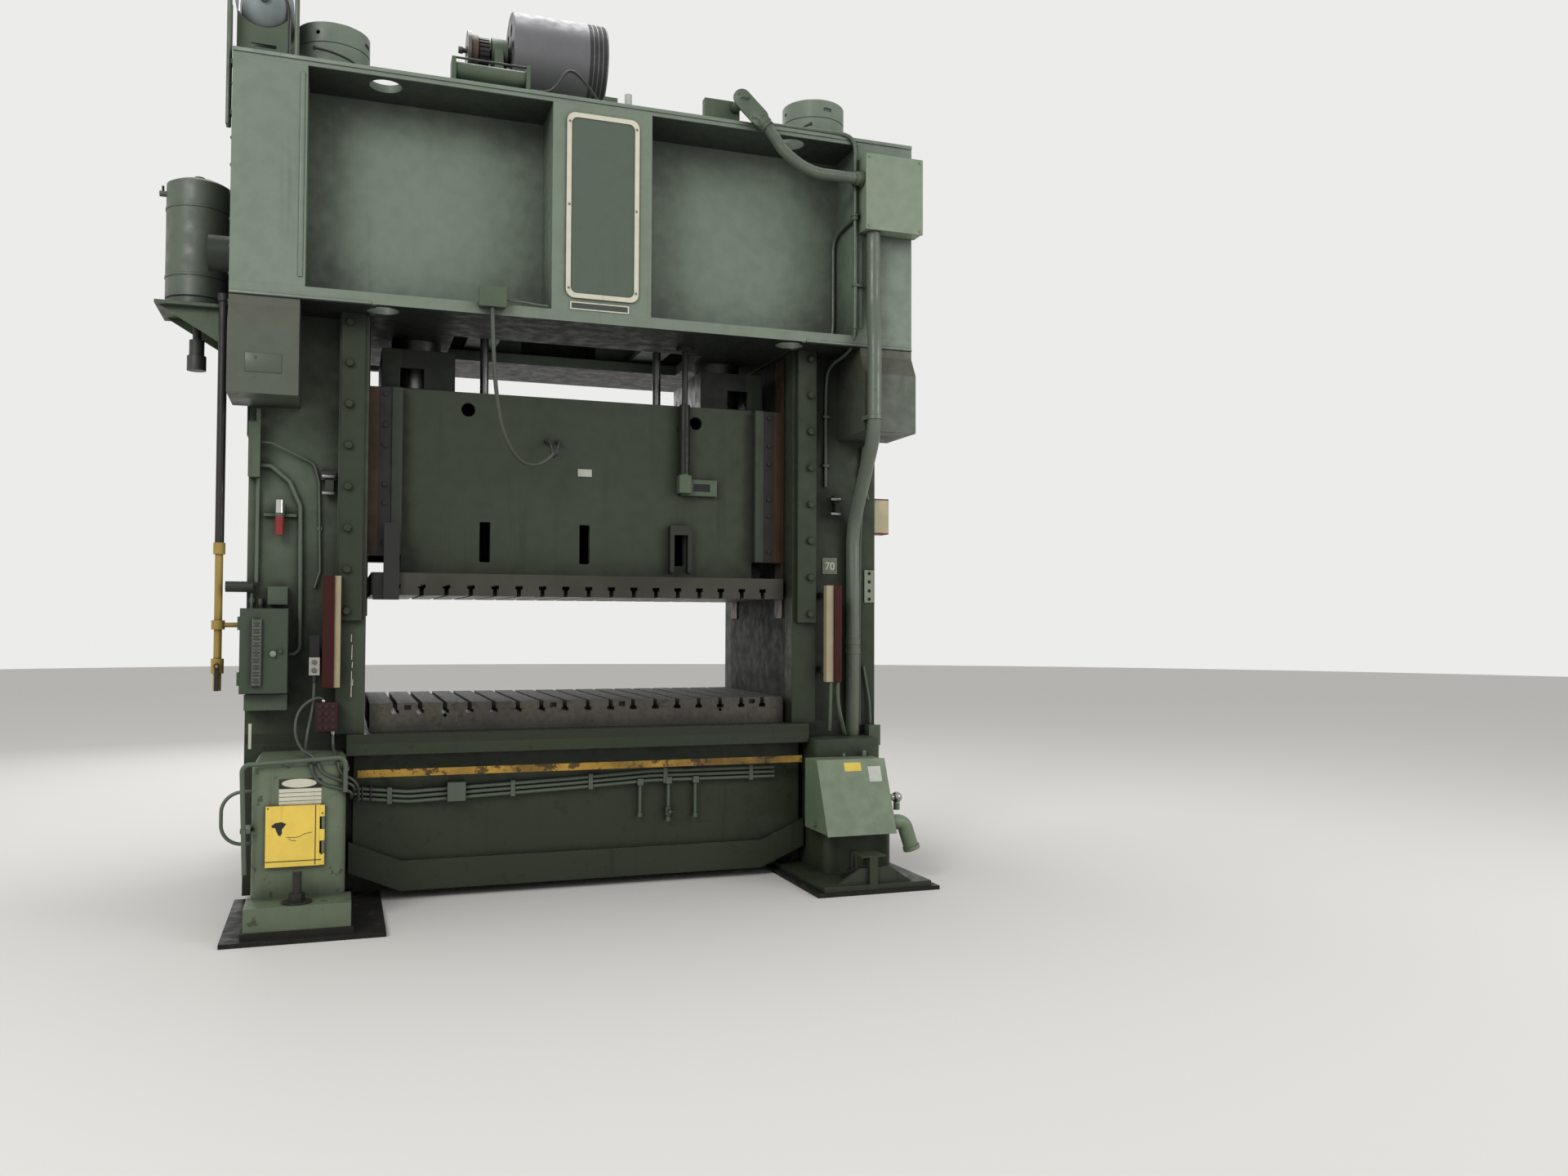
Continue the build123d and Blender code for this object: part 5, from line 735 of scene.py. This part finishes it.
def makeFlexibleConduit():
    green, steel = materials["mainConduit"], materials["hardwareGreen"]
    shape = bmesh.new()
    curve = centreLine("flexLine", flex["route"])
    path = evenPoints(linePoints(curve), flex["ribs"] * 4)
    addAlong(shape, path, lambda i: flex["radius"] - (flex["ribHeight"] if i % 4 in (0, 3) else 0.0))
    conduit = refined("flexibleConduit", shape, green)
    fittings = bmesh.new()
    addTurned(fittings, flex["boxNut"], (-1, 0, 0), flex["boxNutProfile"])
    start, end = (Vector(place) for place in flex["fitting"])
    along = (end - start).normalized()
    out = along.cross(Vector(flex["facing"])).cross(along).normalized()
    addTurned(fittings, end, along, flex["collarProfile"], 12)
    addStadium(fittings, start, end, flex["bodyRadius"], flex["bodyThick"], out)
    lid = out * 0.033
    addStadium(fittings, start + lid, end + lid, flex["lidRadius"], flex["lidThick"], out)
    for place in (start - along * 0.03, end + along * 0.03):
        addStub(fittings, place + out * 0.036, place + out * 0.043, 0.006, None, 12)
    addStub(fittings, *flex["inlet"], flex["inletRadius"], None, 24, 0.003)
    refined("pullElbow", fittings, steel)
    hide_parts("flexible_conduit")


makeFlexibleConduit()


# crown: layered edge of the top plate, end box strips, cover patches and screw heads
crownTrim = {"front": -1.0502, "half": 2.187, "coverFace": -1.1202, "topEdge": (5.056, 5.0798),
             "lowEdge": (3.627, 3.647), "lowEdgeFrom": 1.40, "strip": (1.789, 1.815, 3.76), "stripTops": (4.985, 4.36),
             "screwRadius": 0.011, "screwFoot": 3.11, "screwPitch": 0.16, "screwRows": 12, "screwSide": 1.02,
             "topScrews": (-0.96, 0.24, 9), "topScrewHeights": (5.02, 3.68)}


def makeCrownTrim():
    green, hardware = materials["crownGreen"], materials["hardwareGreen"]
    front, half = crownTrim["front"], crownTrim["half"]
    shape = bmesh.new()
    (topLow, topHigh), (lowLow, lowHigh) = crownTrim["topEdge"], crownTrim["lowEdge"]
    for face in (-1, 1):
        y0, y1 = sorted((face * -front, face * (-front + 0.007)))
        addBar(shape, (-half, y0, topLow), (half, y1, topHigh), 0.002)
        for x0, x1 in ((-half, -crownTrim["lowEdgeFrom"]), (crownTrim["lowEdgeFrom"], half)):
            addBar(shape, (x0, y0, lowLow), (x1, y1, lowHigh), 0.002)
    inner, outer, low = crownTrim["strip"]
    for side, high in zip((-1, 1), crownTrim["stripTops"]):
        x0, x1 = sorted((side * outer, side * inner))
        addBar(shape, (x0, front - 0.006, low), (x1, front + 0.0001, high), 0.0025)
    refined("crownTrim", shape, green)
    patches = bmesh.new()
    face = crownTrim["coverFace"]
    addBar(patches, (-2.09, face - 0.003, 3.164), (-1.893, face + 0.0003, 3.276), 0.0012)
    addStub(patches, (-2.035, face - 0.002, 3.25), (-2.035, face - 0.0075, 3.25), 0.006, None, 12, 0.001)
    refined("coverPatch", patches, materials["coverGreen"])
    heads = bmesh.new()
    radius = crownTrim["screwRadius"]
    rise = [crownTrim["screwFoot"] + crownTrim["screwPitch"] * i for i in range(crownTrim["screwRows"])]
    start, pitch, count = crownTrim["topScrews"]
    places = [(y, z) for y in (-crownTrim["screwSide"], crownTrim["screwSide"]) for z in rise]
    places += [(start + pitch * i, z) for i in range(count) for z in crownTrim["topScrewHeights"]]
    for side in (-1, 1):
        for y, z in places:
            addStub(heads, (side * (half - 0.0005), y, z), (side * (half + 0.007), y, z), radius, radius * 0.8, 12)
    refined("crownScrews", heads, hardware)


makeCrownTrim()


# tie rod caps: a worn spanner slot with a run of old grease on each
capSlot = {"centre": (1.64, 0.54), "radius": 0.2225, "width": 0.0065,
           "marks": [(-1, (-119, 5.28), (-56, 5.226)), (1, (-142, 5.23), (-115, 5.27))]}


def makeCapSlots():
    x0, y0 = capSlot["centre"]
    for side, (turnStart, heightStart), (turnEnd, heightEnd) in capSlot["marks"]:
        for face in (-1, 1):
            points = []
            for k in range(9):
                share = k / 8
                turn = -face * math.radians(turnStart + (turnEnd - turnStart) * share)
                points.append((side * x0 + capSlot["radius"] * math.cos(turn),
                               face * y0 + capSlot["radius"] * math.sin(turn),
                               heightStart + (heightEnd - heightStart) * share))
            name = ("Left" if side < 0 else "Right") + ("Front" if face < 0 else "Rear")
            tube("capSlot" + name, points, capSlot["width"], materials["darkSteel"])
            knob = bmesh.new()
            place = Vector(points[0 if side < 0 else -1])
            out = (place - Vector((side * x0, face * y0, place.z))).normalized()
            addStub(knob, place - out * 0.006, place + out * 0.004, 0.015, 0.012, 16, 0.002)
            refined("capLug" + name, knob, materials["darkSteel"])


makeCapSlots()


# air line that arches in front of the drum, and small pipes on the crown
crownPipes = [
    ("archedLine", [(-0.44, -0.9, 5.14), (-0.34, -0.9, 5.135), (-0.27, -0.9, 5.2), (-0.2, -0.9, 5.33),
                    (-0.1, -0.9, 5.26), (0.0, -0.9, 5.13), (0.02, -0.905, 5.1)], 0.009, "blackPlastic"),
    ("tankPipeLeft", [(-2.165, -0.86, 5.1), (-2.165, -0.86, 5.25), (-2.165, -0.86, 5.5), (-2.14, -0.86, 5.56),
                      (-2.1, -0.86, 5.57)], 0.013, "chrome"),
    ("tankPipeRight", [(-1.895, -0.87, 5.1), (-1.895, -0.87, 5.3), (-1.89, -0.87, 5.46), (-1.93, -0.87, 5.52)],
     0.012, "darkSteel"),
    ("outletLine", [(-0.61, -1.058, 3.73), (-0.5, -1.058, 3.728), (-0.4, -1.058, 3.716), (-0.345, -1.058, 3.716)],
     0.007, "conduitGreen"),
    ("sideTankElbow", [(-2.60, -0.3, 4.4), (-2.625, -0.3, 4.4), (-2.632, -0.3, 4.41), (-2.632, -0.3, 4.45)],
     0.0075, "darkSteel")]


def makeCrownPipes():
    for name, route, radius, finish in crownPipes:
        tube(name, route, radius, materials[finish])


makeCrownPipes()
print("crown pieces made")


# conduits on the right of the press
rightConduits = [
    ("rightWebLine", [(1.10, -1.03, 5.0945), (1.5, -1.04, 5.0945), (1.69, -1.063, 5.0945), (1.752, -1.066, 5.04),
                      (1.752, -1.066, 4.9), (1.752, -1.066, 4.4), (1.752, -1.066, 3.75)], 0.0142),
    ("rightWebBranch", [(1.752, -1.062, 4.52), (1.752, -0.82, 4.52), (1.752, -0.667, 4.47), (1.752, -0.667, 4.3),
                        (1.752, -0.667, 4.0), (1.752, -0.667, 3.80), (1.73, -0.667, 3.724)], 0.0142),
    ("rightColumnLine", [(1.752, -1.064, 3.76), (1.752, -1.06, 3.68), (1.745, -0.98, 3.60), (1.71, -0.70, 3.56),
                         (1.70, -0.656, 3.45), (1.70, -0.654, 3.0), (1.70, -0.654, 2.70)], 0.011),
    ("rightOuterLine", [(1.99, -0.66, 3.0), (1.985, -0.66, 2.9), (1.965, -0.66, 2.75), (1.945, -0.66, 2.5),
                        (1.935, -0.66, 2.2), (1.935, -0.66, 1.6), (1.935, -0.66, 1.0)], 0.012),
    ("rightOuterHose", [(2.03, -0.66, 2.62), (2.0, -0.675, 2.72), (1.985, -0.675, 2.6), (1.965, -0.67, 2.4),
                        (1.962, -0.665, 2.0), (1.962, -0.662, 1.5), (1.965, -0.66, 1.003)], 0.009),
    ("rightLowLine", [(1.995, -0.66, 1.42), (2.03, -0.66, 1.25), (2.045, -0.668, 1.12), (2.047, -0.668, 1.003)],
     0.009),
    ("curtainDropRight", [(1.66, -0.868, 1.318), (1.66, -0.862, 1.2), (1.665, -0.84, 1.05), (1.67, -0.82, 0.98)],
     0.013),
    ("curtainDropOuter", [(1.71, -0.868, 1.318), (1.712, -0.86, 1.2), (1.74, -0.84, 1.08), (1.78, -0.8, 1.0),
                          (1.80, -0.78, 0.945)], 0.015)]


rightClips = {"column": [(1.70, 3.2), (1.70, 2.85), (1.935, 2.1), (1.935, 1.4)], "web": (4.75, 4.05),
              "tee": (1.752, -1.066, 4.50), "teeProfile": [(0.0, 0), (0.026, 0), (0.026, 0.026), (0.032, 0.028),
                                                           (0.032, 0.04), (0.0, 0.04)],
              "strapBolts": (1.794, 1.89), "strapFace": -1.194, "strapHeight": 3.126}


def makeRightConduits():
    for name, route, radius in rightConduits:
        tube(name, route, radius, materials["conduitGreen"])
    clips = bmesh.new()
    for x, z in rightClips["column"]:
        addBar(clips, (x - 0.024, -0.672, z - 0.009), (x + 0.024, -0.6402, z + 0.009), 0.002)
    for z in rightClips["web"]:
        addBar(clips, (1.73, -1.082, z - 0.01), (1.81, -1.0502, z + 0.01), 0.002)
    addTurned(clips, rightClips["tee"], (0, 0, 1), rightClips["teeProfile"], 16)
    face, height = rightClips["strapFace"], rightClips["strapHeight"]
    for x in rightClips["strapBolts"]:
        addStub(clips, (x, face, height), (x, face - 0.014, height), 0.011, None, 6)
    refined("rightConduitClips", clips, materials["hardwareGreen"])


makeRightConduits()
print("right conduits made")


# left foot: oval label on its dark ground, and the marks on the yellow door
footLabel = {"centre": (-1.754, -1.4232, 0.8215), "half": (0.091, 0.0245), "thick": 0.001,
             "ground": ((-1.859, -1.4226, 0.795), (-1.638, -1.4199, 0.846))}


def makeFootLabels():
    ground = bmesh.new()
    addBar(ground, *footLabel["ground"], 0.0005)
    refined("labelGround", ground, materials["darkSteel"])
    shape = bmesh.new()
    place = Matrix.Translation(footLabel["centre"]) @ Matrix.Rotation(math.radians(90), 4, "X")
    stretch = Matrix.Diagonal((footLabel["half"][0], footLabel["half"][1], 1, 1))
    bmesh.ops.create_cone(shape, cap_ends=True, segments=40, radius1=1.0, radius2=1.0,
                          depth=footLabel["thick"], matrix=place @ stretch)
    refined("ovalLabel", shape, materials["paleTrim"], "frame")


makeFootLabels()


doorMarks = {"face": -1.4462, "hinge": (-1.6665, 0.37, 0.70), "fold": (-1.924, -1.634, 0.394),
             "rivets": [(-1.630, 0.653), (-1.634, 0.428), (-1.913, 0.689)], "scratchRadius": 0.0014,
             "hole": [(-1.895, 0.593), (-1.876, 0.609), (-1.841, 0.613), (-1.818, 0.602), (-1.841, 0.571),
                      (-1.839, 0.551), (-1.849, 0.535), (-1.86, 0.543), (-1.868, 0.563), (-1.875, 0.582),
                      (-1.891, 0.585)],
             "scratches": [[(-1.817, 0.528), (-1.776, 0.524), (-1.74, 0.531), (-1.726, 0.545), (-1.685, 0.55)],
                           [(-1.804, 0.52), (-1.794, 0.505), (-1.767, 0.509)]]}


def makeDoorMarks():
    dark, face = materials["darkSteel"], doorMarks["face"]
    shape = bmesh.new()
    corners = [shape.verts.new((x, face - 0.0006, z)) for x, z in doorMarks["hole"]]
    shape.faces.new(corners)
    bmesh.ops.solidify(shape, geom=list(shape.faces), thickness=0.0006)
    x, low, high = doorMarks["hinge"]
    addBar(shape, (x - 0.002, face - 0.001, low), (x + 0.002, face + 0.0002, high), 0.0)
    left, right, height = doorMarks["fold"]
    addBar(shape, (left, face - 0.001, height), (right, face + 0.0002, height + 0.004), 0.0)
    for x, z in doorMarks["rivets"]:
        addStub(shape, (x, face + 0.0002, z), (x, face - 0.003, z), 0.0045, 0.003, 12)
    refined("doorHole", shape, dark, "foot_door")
    for i, line in enumerate(doorMarks["scratches"]):
        points = [(x, face, z) for x, z in line]
        tube("doorScratch%d" % (i + 1), points, doorMarks["scratchRadius"], dark, "foot_door")


makeDoorMarks()


# hoses from the lamp box and the button station over the foot to the bundle on the bed
footHoses = {"radius": 0.0079, "ties": (-1.41, -1.36), "tieLow": (-0.8105, 0.62), "tieHigh": (-0.78, 0.715),
             "lampEnds": [((-1.64, -0.858, 1.2352), 0.0148, 0.011), ((-1.583, -0.858, 1.0598), -0.0248, 0.010)],
             "stationEnd": (-1.6935, -0.866, 1.3998),
             "endProfile": [(0.0, 0), (0.016, 0), (0.016, 0.018), (0.011, 0.045), (0.0, 0.045)], "routes": [
    [(-1.64, -0.858, 1.2353), (-1.64, -0.858, 1.262), (-1.7, -0.89, 1.264), (-1.785, -0.908, 1.19),
     (-1.8, -0.935, 1.06), (-1.755, -1.08, 0.972), (-1.705, -1.29, 0.968), (-1.668, -1.436, 0.955),
     (-1.64, -1.4285, 0.875), (-1.58, -1.4285, 0.846), (-1.478, -1.4295, 0.806), (-1.462, -1.385, 0.775),
     (-1.46, -1.1, 0.715), (-1.46, -0.93, 0.7), (-1.46, -0.795, 0.698), (-1.4275, -0.795, 0.698)],
    [(-1.6935, -0.866, 1.3997), (-1.6935, -0.866, 1.33), (-1.7, -0.868, 1.2), (-1.728, -0.88, 1.06),
     (-1.736, -0.96, 0.97), (-1.724, -1.15, 0.944), (-1.712, -1.34, 0.944), (-1.7, -1.444, 0.94),
     (-1.68, -1.4285, 0.85), (-1.625, -1.4285, 0.806), (-1.56, -1.4285, 0.79), (-1.48, -1.4285, 0.764),
     (-1.478, -1.36, 0.735), (-1.478, -1.15, 0.69), (-1.478, -0.93, 0.67), (-1.478, -0.795, 0.668),
     (-1.4275, -0.795, 0.668)],
    [(-1.583, -0.858, 1.0597), (-1.583, -0.86, 1), (-1.58, -0.9, 0.958), (-1.57, -1.1, 0.948),
     (-1.563, -1.33, 0.95), (-1.556, -1.448, 0.948), (-1.54, -1.4285, 0.868), (-1.47, -1.4285, 0.832),
     (-1.44, -1.37, 0.78), (-1.438, -1.2, 0.7), (-1.44, -1, 0.645), (-1.446, -0.88, 0.638),
     (-1.454, -0.795, 0.638), (-1.4275, -0.795, 0.638)]]}


def makeFootHoses():
    for i, route in enumerate(footHoses["routes"]):
        hose, path = tubeMesh("footHose%d" % (i + 1), route, footHoses["radius"], materials["leadSleeve"], 12)
        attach(hose, "frame")
    ends = bmesh.new()
    for place, rise, tip in footHoses["lampEnds"]:
        addStub(ends, place, Vector(place) + Vector((0, 0, rise)), 0.013, tip, 16, 0.002)
    refined("hoseEnds", ends, materials["chrome"], "frame")
    ties = bmesh.new()
    for x in footHoses["ties"]:
        addBar(ties, (x - 0.006, *footHoses["tieLow"]), (x + 0.006, *footHoses["tieHigh"]), 0.003)
    addTurned(ties, footHoses["stationEnd"], (0, 0, -1), footHoses["endProfile"], 16)
    refined("hoseTies", ties, materials["blackPlastic"], "frame")


makeFootHoses()


# left column: sensor bars, sight gauge and blank badge on the cabinet door, outlet sockets, pale paint runs
columnMarks = {"sensors": [(-1.63, -0.7005, 2.508), (1.76, -0.7005, 2.495)],
               "sensorSize": (0.038, 0.012, 0.018, 0.104),
               "gauge": {"low": (-2.036, 1.345), "high": (-1.996, 1.735), "pitch": 0.0195},
               "badge": (-1.926, 1.529, 0.018), "sockets": [(-1.694, 1.477), (-1.694, 1.428)],
               "socketRadius": 0.0135,
               "edgeStrip": ((-2.068, -0.6425, 0.945), (-2.05, -0.6399, 1.10)),
               "paintRuns": [(-1.486, 1.60, 1.645), (-1.482, 1.49, 1.58), (-1.479, 1.44, 1.475), (-1.483, 1.26, 1.42),
                             (-1.476, 1.33, 1.37)]}


def makeColumnMarks():
    half, thick, high, apart = columnMarks["sensorSize"]
    shape = bmesh.new()
    for x, y, z in columnMarks["sensors"]:
        for low in (z, z + apart):
            addBar(shape, (x - half, y - thick, low), (x + half, y + 0.0105, low + high), 0.003)
    refined("sensorBars", shape, materials["machinedSteel"])
    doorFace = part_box("lube_door")[0][1]
    gauge = columnMarks["gauge"]
    shape = bmesh.new()
    (left, low), (right, top) = gauge["low"], gauge["high"]
    for x in (left - 0.005, right):
        addBar(shape, (x, doorFace + 0.004, low - 0.006), (x + 0.005, doorFace + 0.009, top + 0.006), 0.001)
    for i in range(round((top - low) / gauge["pitch"])):
        z = low + gauge["pitch"] * i
        addBar(shape, (left, doorFace + 0.005, z), (right, doorFace + 0.0092, z + gauge["pitch"] * 0.55), 0.001)
    refined("sightGauge", shape, materials["greyPlastic"], "lube_door")
    return doorFace


def makeSmallMarks(doorFace):
    x, z, radius = columnMarks["badge"]
    shape = bmesh.new()
    addStub(shape, (x, doorFace + 0.0102, z), (x, doorFace + 0.006, z), radius, None, 28, 0.0008)
    refined("blankBadge", shape, materials["boxGreen"], "lube_door")
    shape = bmesh.new()
    for x, z in columnMarks["sockets"]:
        addStub(shape, (x, -0.8995, z), (x, -0.9006, z), columnMarks["socketRadius"], None, 20)
    refined("socketFaces", shape, materials["blackPlastic"], "frame")
    shape = bmesh.new()
    addBar(shape, *columnMarks["edgeStrip"], 0.001)
    for x, low, top in columnMarks["paintRuns"]:
        addStub(shape, (x, -0.7852, low), (x + 0.002, -0.7852, top), 0.0035, 0.0025, 8)
    refined("paintRuns", shape, materials["paleTrim"])


makeSmallMarks(makeColumnMarks())


# number on the right upright
plateNumber = {"text": "70", "size": 0.078, "place": (1.7385, -0.6466, 2.107)}


def makePlateNumber():
    letters = bpy.data.curves.new("plateNumber", "FONT")
    letters.body = plateNumber["text"]
    letters.size = plateNumber["size"]
    letters.align_x = "CENTER"
    letters.extrude = 0.0006
    holder = sceneAdd(bpy.data.objects.new("plateNumberText", letters))
    mesh = bpy.data.meshes.new_from_object(holder)
    bpy.data.objects.remove(holder)
    mesh.transform(Matrix.Translation(plateNumber["place"]) @ Matrix.Rotation(math.radians(90), 4, "X"))
    mesh.materials.clear()
    mesh.materials.append(materials["paleTrim"])
    piece = sceneAdd(bpy.data.objects.new("plateNumber", mesh))
    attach(piece, "frame")


makePlateNumber()
print("labels made")


# floor, backdrop and lamps
studio = {"floor": (214, 212, 208), "backdrop": (236, 236, 234), "world": 0.62,
          "lamps": [("keyLamp", (-7.5, -9.5, 8.5), (0.0, 0.0, 2.6), 5.0, 620),
                    ("fillLamp", (8.0, -8.0, 5.0), (0.4, 0.0, 2.4), 5.0, 260),
                    ("topLamp", (0.0, 1.5, 10.5), (0.0, 0.0, 4.0), 6.0, 360),
                    ("backLamp", (-2.0, 9.0, 6.0), (0.0, 0.0, 2.6), 5.0, 240)]}


def seenDirect(tree):
    rays = tree.nodes.new("ShaderNodeLightPath").outputs
    shown = mathOf(tree, "MAXIMUM", rays["Is Camera Ray"], rays["Is Glossy Ray"])
    return mathOf(tree, "MAXIMUM", shown, rays["Is Transmission Ray"])


def makeStudio():
    world = bpy.data.worlds.new("studioWorld")
    bpy.context.scene.world = world
    world.use_nodes = True
    tree = world.node_tree
    soft = tree.nodes["Background"]
    soft.inputs["Color"].default_value = (1, 1, 1, 1)
    soft.inputs["Strength"].default_value = studio["world"]
    plain = tree.nodes.new("ShaderNodeBackground")
    plain.inputs["Color"].default_value = tone(*studio["backdrop"])
    plain.inputs["Strength"].default_value = 1.0
    mix = tree.nodes.new("ShaderNodeMixShader")
    join(tree, seenDirect(tree), mix.inputs[0])
    join(tree, soft.outputs[0], mix.inputs[1])
    join(tree, plain.outputs[0], mix.inputs[2])
    join(tree, mix.outputs[0], tree.nodes["World Output"].inputs["Surface"])
    shape = bmesh.new()
    bmesh.ops.create_circle(shape, cap_ends=True, radius=45.0, segments=96)
    mesh = bpy.data.meshes.new("studioFloor")
    shape.to_mesh(mesh)
    shape.free()
    floor = sceneAdd(bpy.data.objects.new("studioFloor", mesh))
    material = bpy.data.materials.new("studioFloor")
    material.use_nodes = True
    surface = material.node_tree.nodes["Principled BSDF"]
    surface.inputs["Base Color"].default_value = tone(*studio["floor"])
    surface.inputs["Roughness"].default_value = 0.9
    mesh.materials.append(material)
    for name, place, target, size, power in studio["lamps"]:
        data = bpy.data.lights.new(name, "AREA")
        data.shape = "DISK"
        data.size = size
        data.energy = power
        lamp = sceneAdd(bpy.data.objects.new(name, data))
        lamp.location = place
        lamp.rotation_euler = (Vector(target) - Vector(place)).to_track_quat("-Z", "Y").to_euler()


makeStudio()
print("studio made")
